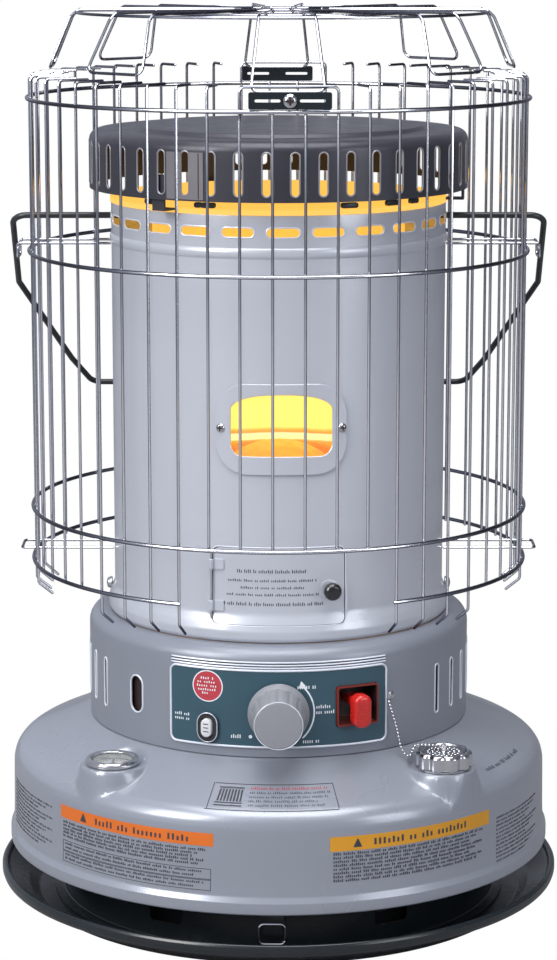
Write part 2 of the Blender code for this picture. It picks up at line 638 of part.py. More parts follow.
def make_chamber():
    chamber = turned("heat_chamber", thicken(chamber_path(), SHEET), "blue_grey_paint")
    window_z = (WINDOW_BOTTOM_Z + WINDOW_TOP_Z) / 2
    door_z = (DOOR_BOTTOM_Z + DOOR_TOP_Z) / 2
    cuts = slots(CHAMBER_SLOTS, CHAMBER_SLOT_PHASE, 0.0260, 0.0077, CHAMBER_SLOT_Z, CHAMBER_R)
    cuts.append((window_outline(WINDOW_WIDTH, WINDOW_TOP_Z - WINDOW_BOTTOM_Z, 0.012, 0.006), -0.03, 0.02,
                 radial_frame(CHAMBER_R, WINDOW_ANGLE, window_z)))
    door = rounded_rectangle(2 * DOOR_HALF_WIDTH + 0.0010, DOOR_TOP_Z - DOOR_BOTTOM_Z + 0.0010, 0.006, 2)
    cuts.append((door, -0.04, 0.02, radial_frame(CHAMBER_R, 0, door_z)))
    for side in (-90, 90):
        cuts.append((polygon(8, 0.0024), -0.010, 0.012, radial_frame(CHAMBER_R, side, 0.2556)))
    for side in (-1, 1):
        angle = WINDOW_ANGLE + side * 20.15
        cuts.append((polygon(8, 0.0022), -0.010, 0.010, radial_frame(CHAMBER_R, angle, 0.4065)))
    boolean(chamber, cutter(cuts))


def make_window():
    middle = (0.3712 + 0.4408) / 2
    window_z = (WINDOW_BOTTOM_Z + WINDOW_TOP_Z) / 2
    frame = curved_plate("window_frame", CHAMBER_R + GAP, 0.0012, WINDOW_ANGLE, middle,
                         rounded_rectangle(0.1010, 0.4408 - 0.3712, 0.024, 4), "blue_grey_paint")
    cuts = [(window_outline(WINDOW_WIDTH, WINDOW_TOP_Z - WINDOW_BOTTOM_Z, 0.012, 0.006), -0.03, 0.02,
             radial_frame(CHAMBER_R, WINDOW_ANGLE, window_z))]
    for side in (-1, 1):
        angle = WINDOW_ANGLE + side * 20.15
        cuts.append((polygon(8, 0.0022), -0.010, 0.010, radial_frame(CHAMBER_R, angle, 0.4065)))
    boolean(frame, cutter(cuts))
    curved_plate("window_glass", CHAMBER_R - SHEET - GAP - 0.0010, 0.0010, WINDOW_ANGLE, window_z,
                 rounded_rectangle(0.0840, 0.0540, 0.008, 1), "clear")
    for side, label in ((-1, "left"), (1, "right")):
        angle = WINDOW_ANGLE + side * 20.15
        head = CHAMBER_R + GAP + 0.0012 + GAP
        outline = [(0, -0.0060), (0.0017, -0.0060), (0.0017, 0.0), (0.0035, 0.0), (0.0032, 0.0016),
                   (0, 0.0022)]
        turned(f"window_screw_{label}", outline, "chrome", 10, radial_frame(head, angle, 0.4065))


def make_door():
    middle = (DOOR_BOTTOM_Z + DOOR_TOP_Z) / 2
    outline = rounded_rectangle(2 * DOOR_HALF_WIDTH, DOOR_TOP_Z - DOOR_BOTTOM_Z, 0.006, 2)
    door = curved_plate("door", CHAMBER_R - SHEET, SHEET, 0, middle, outline, "blue_grey_paint")
    hinge_x, hinge_y = door_hinge()
    hinge = Matrix.Translation((hinge_x, hinge_y, 0))
    hinge_angle = math.degrees(math.atan2(hinge_x, -hinge_y))
    leaf = [polar(CHAMBER_R + out, hinge_angle + turn, 0).xy
            for out, turn in ((-0.0006, 0.4), (0.0012, 0.0), (0.0012, 4.0), (-0.0006, 4.0))]
    for low in (0.2620, 0.2950):
        boolean(door, cutter([(leaf, low, low + 0.0080, None)]), "UNION")
        boolean(door, cutter([(polygon(8, 0.0022), low, low + 0.0080, hinge)]), "UNION")
    boolean(door, cutter([(polygon(8, 0.0013), 0.2500, 0.3150, hinge)]))
    boolean(door, cutter([(polygon(8, 0.0021), -0.010, 0.010, radial_frame(CHAMBER_R, 17.0, 0.2795))]))
    pin = [(0, 0.2560), (0.0009, 0.2560), (0.0009, 0.3090), (0, 0.3090)]
    turned("door_hinge_pin", pin, "zinc", 8, hinge)
    knob = [(0, -0.0050), (0.0017, -0.0050), (0.0017, 0.0005), (0.0050, 0.0005), (0.0045, 0.0050),
            (0.0070, 0.0075), (0.0070, 0.0115), (0.0055, 0.0135), (0, 0.0140)]
    turned("door_knob", knob, "black_plastic", SMALL_ROUND, radial_frame(CHAMBER_R, 17.0, 0.2795))


def door_hinge():
    """Place of the door's upright hinge pin, just outside its left edge."""
    x = -DOOR_HALF_WIDTH - 0.0002
    return x, -math.sqrt((CHAMBER_R + 0.0024) ** 2 - x * x)


def make_side_bolts():
    for side, label in ((-90, "left"), (90, "right")):
        frame = radial_frame(CHAMBER_R + 0.0016, side, 0.2556)
        bolt = prism(f"side_bolt_{label}", polygon(6, 0.0046), 0.0004, 0.0044, "zinc", frame)
        boolean(bolt, prism("shank", polygon(8, 0.0019), -0.0070, 0.0020, "zinc", frame), "UNION")


# ---- hood ------------------------------------------------------------------------
def make_hood():
    path = ([(0, 0.6300), (0.1130, 0.6300), (0.1180, HOOD_TOP_Z)]
            + arc((HOOD_R - 0.0080, HOOD_TOP_Z - 0.0080), 0.0080, 90, 0, 2) + [(HOOD_R, HOOD_Z)])
    hood = turned("hood", thicken(path, SHEET), "dark_grey_paint")
    boolean(hood, cutter(slots(HOOD_SLOTS, HOOD_SLOT_PHASE, 0.0070, 0.0330, 0.6022, HOOD_R)))


def make_hood_bracket():
    """Ring on the chamber's top with three arms that carry the hood."""
    low, outer = CHAMBER_TOP_Z + GAP, HOOD_R - SHEET - 0.0010
    washer = [(0.1252, low), (0.1320, low), (0.1320, low + 0.0010), (0.1252, low + 0.0010)]
    ring = turned("hood_bracket", washer, "zinc")
    foot, top, strip = low + 0.0002, 0.6000, 0.0016
    arm = [(-0.1270, foot), (-outer, foot), (-outer, top), (strip - outer, top),
           (strip - outer, foot + strip), (-0.1270, foot + strip)]
    for angle in (-38.0, 82.0, 202.0):
        frame = radial_frame(0, angle, 0) @ Matrix.Rotation(math.radians(90), 4, "Y")
        boolean(ring, cutter([(arm, -0.0060, 0.0060, frame)]), "UNION")


# ---- guard, grille and handle --------------------------------------------------------
def guard_angles():
    """Angles of the upright wires, moved aside where the handle's rod and the supports pass."""
    angles = []
    for index in range(GUARD_WIRES):
        angle = (GUARD_PHASE + 360 * index / GUARD_WIRES + 180) % 360 - 180
        for pivot in (-90, 90):
            away = abs(angle - pivot)
            if away < 2.6:
                angle = pivot + math.copysign(2.6, angle - pivot)
            elif 3.4 < away < 5.2:
                angle = pivot + math.copysign(5.2, angle - pivot)
        angles.append(angle)
    return angles


def bridge_ends():
    """Angles of the first and last of the four wires under each bridge."""
    pitch = 360 / GUARD_WIRES
    return [(GUARD_PHASE + pitch * first, GUARD_PHASE + pitch * (first + 3)) for first in GUARD_BRIDGED]


def upright_path(angle):
    """Path of one upright wire, from its foot to its hook or to the bridge over it."""
    in_gate = GATE[0] < angle < GATE[1]
    footed = any(near(angle, *reach) for reach in ((-33.2, 14.0), (37.2, 14.0), (90, 12), (-90, 12)))
    bottom = GUARD_RINGS_Z[2] if in_gate else GUARD_RINGS_Z[3]
    path = [polar(GUARD_R, angle, bottom - RING_WIRE * 0.6)]
    if footed and not in_gate:
        path = [polar(GUARD_R - 0.0110, angle, GUARD_FOOT_Z - 0.0090), polar(GUARD_R, angle, GUARD_FOOT_Z)]
    for low, high in bridge_ends():
        if near(angle, (low + high) / 2, (high - low) / 2 + 1.0):
            return path + [polar(GUARD_R, angle, GUARD_RINGS_Z[0] + RING_WIRE * 0.6)]
    return path + [polar(GUARD_R, angle, GUARD_TOP_Z), polar(GUARD_R - GUARD_HOOK, angle, GUARD_TOP_Z)]


def make_guard():
    """Four quarters of upright wires with hooked tops on four rings, and a bridge over each clamp plate."""
    pitch = 360 / GUARD_WIRES
    ring_r = (GUARD_R + (WIRE + RING_WIRE) / 2 - 0.0016) / math.cos(math.pi / GUARD_WIRES)
    for index, label in enumerate(("front", "right", "back", "left")):
        middle = GUARD_PHASE + 90 * index
        uprights = [upright_path(angle) for angle in guard_angles() if near(angle, middle, 45)]
        guard = wires(f"guard_{label}", uprights, WIRE, "chrome")
        start, sweep = middle - 45 + 0.2, 90 - 0.4
        levels = GUARD_RINGS_Z[:3] if label == "front" else GUARD_RINGS_Z
        for z in levels:
            ring = ring_path(ring_r, z, 13, start, sweep)
            boolean(guard, wires("ring", [ring], RING_WIRE, "chrome"), "UNION")
        if label == "front":
            for first, last in ((start, GATE[0]), (GATE[1], start + sweep)):
                steps = round((last - first) / pitch)
                ring = ring_path(ring_r, GUARD_RINGS_Z[3], steps, first, last - first)
                boolean(guard, wires("ring", [ring], RING_WIRE, "chrome"), "UNION")
        if label in ("front", "back"):
            low, high = bridge_ends()[index // 2]
            bridge_r, foot = GUARD_R - 0.0015, GUARD_RINGS_Z[0] - 0.0060
            path = ([polar(bridge_r, low, foot)] + ring_path(bridge_r, GUARD_TOP_Z, 4, low, high - low)
                    + [polar(bridge_r, high, foot)])
            boolean(guard, wires("bridge", [path], WIRE, "chrome"), "UNION")


def make_grille():
    """Flat top of rings and radial wires, with eight looped legs that rest on the guard."""
    place = Matrix.Translation((GRILLE_SHIFT, 0, 0)) @ Matrix.Rotation(math.radians(GRILLE_TURN), 4, "Z")
    inner, edge = GRILLE_RINGS_R[2] - 0.0010, GRILLE_RINGS_R[0] - 0.0010
    legs = []
    for index in range(GRILLE_LEGS):
        middle = 45 * index
        clamped = index in (0, 4)
        foot_r, foot_z = (GUARD_R - WIRE, 0.6660) if clamped else (0.1850, GUARD_TOP_Z + WIRE + 0.0040)
        spread = GRILLE_SPREAD + (0.7 if clamped else 2.1)
        path = []
        for side in (-1, 1):
            top_angle = middle + side * GRILLE_SPREAD
            run = [polar(inner, middle + side * 11.25, GRILLE_Z), polar(edge, top_angle, GRILLE_Z),
                   polar(edge + 0.0045, top_angle, GRILLE_Z - 0.0050),
                   polar(foot_r, middle + side * spread, foot_z)]
            path += run if side < 0 else run[::-1]
        legs.append([place @ point for point in path])
    grille = wires("top_grille", legs, WIRE, "chrome")
    ring_z = GRILLE_Z - WIRE / 2 - 0.0004
    hoops = []
    for radius, steps in zip(GRILLE_RINGS_R, (24, 16, 16)):
        hoops.append([place @ point for point in ring_path(radius, ring_z, steps)])
    boolean(grille, wires("grille_rings", hoops, WIRE, "chrome", closed=True), "UNION")


def make_clamps():
    """Plates and screws that hold the grille's front and back legs to the guard."""
    for label, angle, shift in (("front", 0, 0.0085), ("back", 180, 0.0010)):
        frame = radial_frame(GUARD_R + 0.0022, angle, 0.6602) @ Matrix.Translation((shift, 0, 0))
        plate = prism(f"clamp_plate_{label}", rounded_rectangle(0.0610, 0.0126, 0.001, 1), 0.0, 0.0016,
                      "black_paint", frame)
        cuts = [(polygon(8, 0.0024), -0.002, 0.004, frame)]
        for side in (-1, 1):
            cuts.append((rounded_rectangle(0.0190, 0.0022, 0.0008, 1), -0.002, 0.004,
                         frame @ Matrix.Translation((side * 0.0165, 0, 0))))
        boolean(plate, cutter(cuts))
        screw = [(0, -0.0080), (0.0019, -0.0080), (0.0019, 0.0020), (0.0052, 0.0020), (0.0046, 0.0038),
                 (0, 0.0046)]
        turned(f"clamp_screw_{label}", screw, "chrome", 12, frame)


def make_supports():
    """Bent wires between the heat chamber and the guard, two on each side."""
    half, reach = 0.0145, GUARD_R + WIRE + 0.0090
    chamber_x = math.sqrt((CHAMBER_R + GAP) ** 2 - half ** 2) + WIRE / 2
    for side, label in ((-1, "left"), (1, "right")):
        for z, level in ((0.5365, "upper"), (0.2880, "lower")):
            corners = [(chamber_x, -half, z), (reach, -half, z), (reach, half, z), (chamber_x, half, z)]
            if level == "upper":
                corners[1:3] = [(reach, -half, z), (reach, -half, z - 0.012), (reach, half, z - 0.012),
                                (reach, half, z)]
            path = bent([(side * x, y, height) for x, y, height in corners], 0.0030, 2)
            wires(f"guard_support_{level}_{label}", [path], 0.0022, "chrome", 6)


def make_bail():
    """Carrying handle, leaning back on the guard and hinged in the sides of the heat chamber."""
    lean = math.radians(BAIL_LEAN)
    outline = [(0.1280, 0.0), (0.2134, 0.0), (0.2161, 0.1000), (0.1800, 0.2250), (0.1640, 0.2660)]
    corners = [(-x, s) for x, s in outline] + [(x, s) for x, s in outline[::-1]]
    world = [(x, s * math.sin(lean), BAIL_Z - s * math.cos(lean)) for x, s in corners]
    wires("bail_handle", [bent(world, 0.0120, 3)], BAIL_ROD, "black_paint", 6)


def make_chain():
    """Bead chain as a plain tube, with its anchor on the cabinet."""
    knots = [Vector(point) for point in CHAIN_ROUTE]
    path = []
    for index in range(len(knots) - 1):
        before = knots[max(index - 1, 0)]
        after = knots[min(index + 2, len(knots) - 1)]
        for step in range(2):
            path.append(catmull(before, knots[index], knots[index + 1], after, step / 2))
    path.append(knots[-1])
    wires("cap_chain", [path], CHAIN_D, "chrome", 8)
    outline = [(0, -0.0030), (0.0014, -0.0030), (0.0014, 0.0), (0.0034, 0.0), (0.0034, 0.0008), (0, 0.0016)]
    turned("chain_anchor", outline, "zinc", 10, radial_frame(DRUM_R + GAP, 34.2, 0.1945))


def catmull(before, start, end, after, share):
    """A point of the smooth curve between two knots."""
    return 0.5 * ((2 * start) + (end - before) * share
                  + (2 * before - 5 * start + 4 * end - after) * share ** 2
                  + (3 * start - before - 3 * end + after) * share ** 3)


def main():
    for old in list(bpy.data.objects):
        bpy.data.objects.remove(old)
    for make in (make_tray, make_base_ring, make_tray_clip, make_tank, make_filler, make_gauge, make_float,
                 make_wick, make_burner, make_igniter, make_drum, make_panel, make_knob, make_shutoff,
                 make_battery_case, make_tip_weight, make_chamber, make_window, make_door,
                 make_side_bolts, make_hood, make_hood_bracket, make_guard, make_grille, make_clamps,
                 make_supports, make_bail, make_chain):
        make()


main()
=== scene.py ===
"""Looks of a kerosene heater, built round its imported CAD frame.

Metres, +Z up, the front faces -Y. Angles round the heater are in degrees from the front,
positive towards +X. Fine pieces replace the faceted CAD nodes, all materials are procedural.
"""
import json
import math
import random

import bmesh
import bpy
import numpy as np
from mathutils import Matrix, Vector
from mathutils.geometry import delaunay_2d_cdt

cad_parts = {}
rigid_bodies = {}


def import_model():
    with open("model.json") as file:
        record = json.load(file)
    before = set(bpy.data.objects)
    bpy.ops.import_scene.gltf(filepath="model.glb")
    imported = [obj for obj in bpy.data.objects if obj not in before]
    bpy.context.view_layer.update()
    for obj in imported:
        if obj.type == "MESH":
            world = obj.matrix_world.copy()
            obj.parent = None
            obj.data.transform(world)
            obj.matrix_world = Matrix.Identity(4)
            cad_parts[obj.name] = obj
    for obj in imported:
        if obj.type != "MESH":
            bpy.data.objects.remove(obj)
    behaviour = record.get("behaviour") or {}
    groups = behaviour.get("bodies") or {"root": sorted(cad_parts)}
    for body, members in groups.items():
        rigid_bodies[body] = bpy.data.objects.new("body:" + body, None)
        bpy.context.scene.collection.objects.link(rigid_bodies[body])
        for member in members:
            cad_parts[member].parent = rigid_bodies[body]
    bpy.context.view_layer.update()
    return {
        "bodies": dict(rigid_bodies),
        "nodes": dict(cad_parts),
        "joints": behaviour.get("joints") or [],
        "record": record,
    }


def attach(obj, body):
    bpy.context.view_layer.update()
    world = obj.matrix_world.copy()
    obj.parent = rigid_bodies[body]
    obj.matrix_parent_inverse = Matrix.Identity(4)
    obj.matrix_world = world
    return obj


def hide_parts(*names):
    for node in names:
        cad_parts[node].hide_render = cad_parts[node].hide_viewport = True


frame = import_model()

ROOT = "heater"
SIDES = (("left", -1), ("right", 1))
STEPS = 192                 # facets round the large turned pieces
DRUM_R = 0.155              # radii of the outside faces, in metres
PANEL_R = 0.1564
CHAMBER_R = 0.134
HOOD_R = 0.151
GUARD_R = 0.1975
GUARD_WIRES = 51
GUARD_BRIDGED = (-1, 24)    # first of the four wires under each clamp plate
GUARD_PHASE = -1.25         # angle of the first wire
GUARD_RINGS = (0.652, 0.531, 0.324, 0.281)
GUARD_HOOK_Z = 0.67
GUARD_GATE = (-22.2, 26.4)  # the lowest ring is open between these angles, in front of the door
WIRE_R = 0.00115
RING_WIRE_R = 0.0016
GAUGE = (0.1885, -43.5)     # radius and angle of the fuel gauge
CAP = (0.1925, 42.0)        # radius and angle of the fuel cap
GAUGE_SEAT_Z = 0.1418       # heights of the two level seats in the tank's top
CAP_SEAT_Z = 0.1404
CAP_GRIPS = 10
KNOB_FLUTES = 14
SHEET = 0.0014              # thickness of the bent sheets
KNOB_Z = 0.188
SHUTOFF = (-20.4, 0.1742)   # angle and height of its middle, as for the ones below
IGNITER = (23.1, 0.191)
DOOR_Z = 0.28235
DOOR_KNOB = (17.0, 0.2795)
WINDOW = (1.0, 0.409)
WINDOW_SCREW_ANGLE = 20.15  # to each side of the window's middle
WINDOW_SCREW_Z = 0.4065
SIDE_BOLT_Z = 0.2556


# ---- camera ------------------------------------------------------------------
def make_camera():
    data = bpy.data.cameras.new("camera")
    data.sensor_width = 36.0
    data.lens = 107.5
    camera = bpy.data.objects.new("camera", data)
    bpy.context.scene.collection.objects.link(camera)
    camera.location = (0.0, -2.298, 0.784)
    camera.rotation_euler = (math.radians(79.09), 0.0, 0.0)
    bpy.context.scene.camera = camera


# ---- materials ---------------------------------------------------------------
def new_material(name):
    made = bpy.data.materials.new(name)
    made.use_nodes = True
    return made, made.node_tree, made.node_tree.nodes["Principled BSDF"]


def feed(tree, target, inputs):
    """Give each input its value, or link it if it is fed by another node's output."""
    for key, value in inputs.items():
        if isinstance(value, bpy.types.NodeSocket):
            tree.links.new(value, target.inputs[key])
        else:
            target.inputs[key].default_value = value


def node(tree, kind, output, inputs=None, **settings):
    """The output of a new node."""
    made = tree.nodes.new(kind)
    for key, value in settings.items():
        setattr(made, key, value)
    feed(tree, made, inputs or {})
    return made.outputs[output]


def noise(tree, scale, detail=3.0):
    """Noise that rides with the piece, in its own coordinates."""
    place = node(tree, "ShaderNodeTexCoord", "Object")
    return node(tree, "ShaderNodeTexNoise", "Fac", {"Scale": scale, "Detail": detail, "Vector": place})


def ramp(tree, source, stops):
    colour = node(tree, "ShaderNodeValToRGB", "Color", {"Fac": source})
    elements = colour.node.color_ramp.elements
    while len(elements) < len(stops):
        elements.new(0.5)
    for element, (position, shade) in zip(elements, stops):
        element.position = position
        element.color = (*shade, 1.0)
    return colour


def spread(tree, source, low, high, start=0.3, end=0.7):
    """A value stretched from one range, by default the middle of a noise, to another."""
    return node(tree, "ShaderNodeMapRange", "Result", {
        "Value": source, "From Min": start, "From Max": end, "To Min": low, "To Max": high})


def shaded_edges(tree, colour, stops):
    """Painted shade: the colour made darker where the surface turns away, standing in for dark reflections on
    the edges of thin plated wire.
    """
    facing = node(tree, "ShaderNodeLayerWeight", "Facing", {"Blend": 0.5})
    return node(tree, "ShaderNodeMix", "Result", {"Factor": 1.0, "A": colour, "B": ramp(tree, facing, stops)},
                data_type="RGBA", blend_type="MULTIPLY")


def finish_of(name, colour, rough, metal, vary, patch, bump=(700.0, 0.05, 0.0004), coat=0.0,
              edge_shade=None):
    """Painted, plated or moulded finish: uneven colour and gloss, and a fine surface grain."""
    made, tree, shader = new_material(name)
    dark = tuple(max(0.0, c * (1 - vary)) for c in colour)
    light = tuple(min(1.0, c * (1 + vary)) for c in colour)
    colour_now = ramp(tree, noise(tree, patch, 1.0), [(0.2, dark), (0.8, light)])
    if edge_shade:
        colour_now = shaded_edges(tree, colour_now, edge_shade)
    scale, strength, distance = bump
    feed(tree, shader, {
        "Base Color": colour_now, "Metallic": metal,
        "Roughness": spread(tree, noise(tree, patch * 2.3, 1.0), rough * 0.92, rough * 1.08),
        "Normal": node(tree, "ShaderNodeBump", "Normal", {
            "Strength": strength, "Distance": distance, "Height": noise(tree, scale, 2.0)})})
    if coat:
        feed(tree, shader, {"Coat Weight": coat, "Coat Roughness": 0.12})
    made.diffuse_color = (*colour, 1.0)
    return made


def glow_of(name, low, high, stops, strength, flicker=0.02):
    """Glowing surface whose colour goes by height, with a flicker in it."""
    made, tree, shader = new_material(name)
    height = node(tree, "ShaderNodeSeparateXYZ", "Z", {"Vector": node(tree, "ShaderNodeTexCoord", "Object")})
    wobble = node(tree, "ShaderNodeMath", "Value", {0: noise(tree, 60.0 + 200.0 * flicker),
        1: (high - low) * flicker, 2: height}, operation="MULTIPLY_ADD")
    feed(tree, shader, {
        "Emission Color": ramp(tree, spread(tree, wobble, 0.0, 1.0, low, high), stops),
        "Emission Strength": strength, "Base Color": (0.25, 0.12, 0.05, 1.0), "Roughness": 0.7})
    return made


def mixed(tree, share, one, other, output):
    """Two shaders on one surface, the second one by its share."""
    mix = node(tree, "ShaderNodeMixShader", "Shader", {"Fac": share, 1: one, 2: other})
    feed(tree, output, {"Surface": mix})


def glass_of(name, colour, weight, rough=0.05):
    """Thin clear sheet: mostly see-through, with gloss and a faint dusty film."""
    made, tree, shader = new_material(name)
    through = node(tree, "ShaderNodeBsdfTransparent", "BSDF", {"Color": (*colour, 1.0)})
    feed(tree, shader, {
        "Base Color": (0.9, 0.9, 0.88, 1.0),
        "Roughness": spread(tree, noise(tree, 90.0), rough * 0.7, rough * 1.4)})
    film = spread(tree, noise(tree, 150.0, 5.0), weight * 0.7, weight * 1.3)
    mixed(tree, film, through, shader.outputs["BSDF"], tree.nodes["Material Output"])
    return made


ENAMEL_GRAIN = (500.0, 0.012, 0.0003)       # scale, strength and distance of a bump
PLASTIC_GRAIN = (1500.0, 0.06, 0.0003)

# colour, roughness, metal, variation, scale of the variation; some with their own grain and a clear coat
FINISHES = {
    "enamel": ((0.505, 0.525, 0.585), 0.3, 0.25, 0.006, 9.0, ENAMEL_GRAIN, 0.35),
    "drum_enamel": ((0.235, 0.251, 0.297), 0.4, 0.25, 0.006, 9.0, ENAMEL_GRAIN, 0.12),
    "tank_enamel": ((0.258, 0.275, 0.322), 0.29, 0.25, 0.006, 9.0, ENAMEL_GRAIN, 0.4),
    "hood_paint": ((0.046, 0.045, 0.058), 0.36, 0.35, 0.05, 26.0, (800.0, 0.08, 0.0004)),
    "black_enamel": ((0.008, 0.012, 0.015), 0.26, 0.0, 0.15, 20.0, (600.0, 0.03, 0.0004), 0.1),
    "black_wire": ((0.022, 0.024, 0.028), 0.33, 0.0, 0.15, 60.0),
    "panel": ((0.032, 0.078, 0.108), 0.42, 0.1, 0.04, 40.0, (1500.0, 0.06, 0.0002)),
    # painted highlight: pale lines for light caught on the edges of holes, beads and ribs
    "rim_highlight": ((0.66, 0.69, 0.76), 0.3, 0.2, 0.03, 40.0),
    "seam_highlight_paint": ((0.21, 0.2, 0.215), 0.3, 0.4, 0.05, 26.0),
    "hood_rim_highlight": ((0.26, 0.26, 0.29), 0.32, 0.3, 0.05, 40.0),
    "chrome": ((0.56, 0.56, 0.58), 0.15, 1.0, 0.03, 80.0, (900.0, 0.03, 0.0002)),
    "cap_shade": ((0.2, 0.21, 0.24), 0.42, 0.8, 0.3, 150.0),
    "zinc": ((0.52, 0.53, 0.55), 0.36, 1.0, 0.1, 70.0, (500.0, 0.12, 0.0003)),
    "knob": ((0.225, 0.232, 0.255), 0.4, 0.0, 0.03, 50.0, (1800.0, 0.1, 0.0003)),
    "button": ((0.62, 0.62, 0.64), 0.35, 0.0, 0.05, 80.0, (1800.0, 0.08, 0.0003)),
    "black_plastic": ((0.012, 0.012, 0.014), 0.22, 0.0, 0.2, 90.0, PLASTIC_GRAIN, 0.4),
    "red": ((0.5, 0.014, 0.01), 0.28, 0.0, 0.08, 60.0, (1500.0, 0.08, 0.0003), 0.3),
    "dark_red": ((0.165, 0.018, 0.012), 0.38, 0.0, 0.1, 60.0),
    "near_black": ((0.02, 0.008, 0.008), 0.45, 0.0, 0.2, 60.0),
    "dial": ((0.55, 0.55, 0.56), 0.4, 0.5, 0.04, 120.0),
    "ink": ((0.03, 0.032, 0.042), 0.55, 0.0, 0.2, 300.0),
    "red_ink": ((0.42, 0.035, 0.05), 0.5, 0.0, 0.1, 300.0),
    "white_ink": ((0.72, 0.76, 0.8), 0.5, 0.0, 0.05, 300.0),
    "orange_ink": ((0.6, 0.13, 0.01), 0.45, 0.0, 0.04, 60.0),
    "yellow_ink": ((0.58, 0.262, 0.012), 0.45, 0.0, 0.04, 60.0),
    "brass": ((0.62, 0.42, 0.16), 0.32, 1.0, 0.08, 80.0),
    "wick": ((0.6, 0.55, 0.45), 0.95, 0.0, 0.2, 400.0, (900.0, 0.6, 0.001)),
    "battery": ((0.05, 0.16, 0.09), 0.35, 0.2, 0.1, 90.0),
}
# painted shade: how far the wire's colour is darkened as its surface turns away from view
WIRE_SHADE = [(0.0, (1.0, 1.0, 1.0)), (0.13, (0.95, 0.96, 0.98)), (0.26, (0.36, 0.37, 0.42)),
              (0.45, (0.08, 0.08, 0.1))]
# painted light: glow colours by height for the liner and for the disc over the chamber
LINER_GLOW = [(0.0, (0.0, 0.0, 0.0)), (0.03, (0.55, 0.16, 0.02)), (0.22, (0.68, 0.24, 0.02)),
              (0.275, (0.72, 0.3, 0.03)), (0.285, (1.0, 0.78, 0.36)), (0.335, (1.0, 0.84, 0.46)),
              (0.345, (0.66, 0.24, 0.02)), (0.365, (0.76, 0.36, 0.03)), (0.39, (0.9, 0.76, 0.17)),
              (0.8, (0.9, 0.78, 0.2)), (1.0, (0.74, 0.38, 0.055))]
TOP_GLOW = [(0.0, (1.0, 0.42, 0.04)), (0.7, (1.0, 0.5, 0.07)), (1.0, (1.0, 0.56, 0.1))]
DOME_GLOW = [(0.0, (0.0, 0.0, 0.0)), (0.08, (0.4, 0.06, 0.0)), (0.58, (0.95, 0.22, 0.008)),
             (0.8, (1.0, 0.42, 0.02)), (1.0, (1.0, 0.62, 0.06))]


def make_materials():
    made = {name: finish_of(name, *values) for name, values in FINISHES.items()}
    made["wire"] = finish_of("wire", (0.86, 0.86, 0.9), 0.18, 1.0, 0.06, 120.0, (900.0, 0.05, 0.0002),
                             edge_shade=WIRE_SHADE)
    made["glow"] = glow_of("glow", 0.33, 0.43, LINER_GLOW, 1.35)
    made["top_glow"] = glow_of("top_glow", 0.4, 0.6, TOP_GLOW, 1.1)
    made["dome_glow"] = glow_of("dome_glow", 0.34, 0.387, DOME_GLOW, 1.0, 0.35)
    made["lens"] = glass_of("lens", (0.96, 0.98, 0.98), 0.14)
    made["window"] = glass_of("window", (1.0, 0.97, 0.86), 0.035, 0.12)
    return made


# ---- shapes: each is (points, faces) -------------------------------------------
def polar(radius, angle, z):
    turn = math.radians(angle)
    return Vector((radius * math.sin(turn), -radius * math.cos(turn), z))


def radial(radius, angle, z):
    """Frame with local X round the heater, Y up and Z straight out."""
    turn = math.radians(angle)
    across = Vector((math.cos(turn), math.sin(turn), 0))
    outward = Vector((math.sin(turn), -math.cos(turn), 0))
    made = Matrix((across, Vector((0, 0, 1)), outward)).transposed().to_4x4()
    made.translation = polar(radius, angle, z)
    return made


def upright(radius, angle):
    """Frame moved out to a radius and angle, not turned."""
    return Matrix.Translation(polar(radius, angle, 0))


def joined(*shapes):
    points, faces = [], []
    for some_points, some_faces in shapes:
        start = len(points)
        points += [Vector(p) for p in some_points]
        faces += [tuple(start + index for index in face) for face in some_faces]
    return points, faces


def placed(shape, matrix):
    """The shape moved by the matrix."""
    return [matrix @ Vector(p) for p in shape[0]], shape[1]


def arc(centre, radius, start, end, steps):
    turns = [math.radians(start + (end - start) * k / steps) for k in range(steps + 1)]
    return [(centre[0] + radius * math.cos(t), centre[1] + radius * math.sin(t)) for t in turns]


def corner_arc(before, corner, after, bend, steps, flattest, blend):
    """Points round one corner; a corner with a half angle over flattest degrees stays as it is."""
    corner = Vector(corner)
    to_before, to_after = Vector(before) - corner, Vector(after) - corner
    room = 0.49 * min(to_before.length, to_after.length)
    to_before.normalize()
    to_after.normalize()
    half = to_before.angle(to_after) / 2
    if half > math.radians(flattest):
        return [corner]
    trim = min(bend / math.tan(half), room)
    radius = trim * math.tan(half)
    centre = corner + (to_before + to_after).normalized() * (radius / math.sin(half))
    first = corner + to_before * trim - centre
    last = corner + to_after * trim - centre
    return [centre + blend(first, last, k / steps).normalized() * radius for k in range(steps + 1)]


def fillet(points, radius, steps=4, closed=True):
    """Round the corners of an outline; the radius is one number, or one for each corner."""
    count = len(points)
    radii = radius if hasattr(radius, "__len__") else [radius] * count
    made = []
    for index, point in enumerate(points):
        if not closed and index in (0, count - 1) or radii[index] <= 0:
            made.append(tuple(Vector(point)))
            continue
        rounded = corner_arc(points[index - 1], point, points[(index + 1) % count], radii[index], steps, 88,
                             Vector.lerp)
        made += [tuple(p) for p in rounded]
    return made


def profile(*corners, radius=0, steps=4, closed=True):
    """Outline through corners in millimetres; a third number is the radius of that corner alone."""
    points = [(corner[0] / 1000, corner[1] / 1000) for corner in corners]
    radii = [(corner[2] if len(corner) > 2 else radius) / 1000 for corner in corners]
    return fillet(points, radii, steps, closed)


def rectangle(width, height, corner=0.0, steps=4, x=0.0, y=0.0):
    right, top = width / 2, height / 2
    points = [(x - right, y - top), (x + right, y - top), (x + right, y + top), (x - right, y + top)]
    return fillet(points, corner, steps) if corner else points


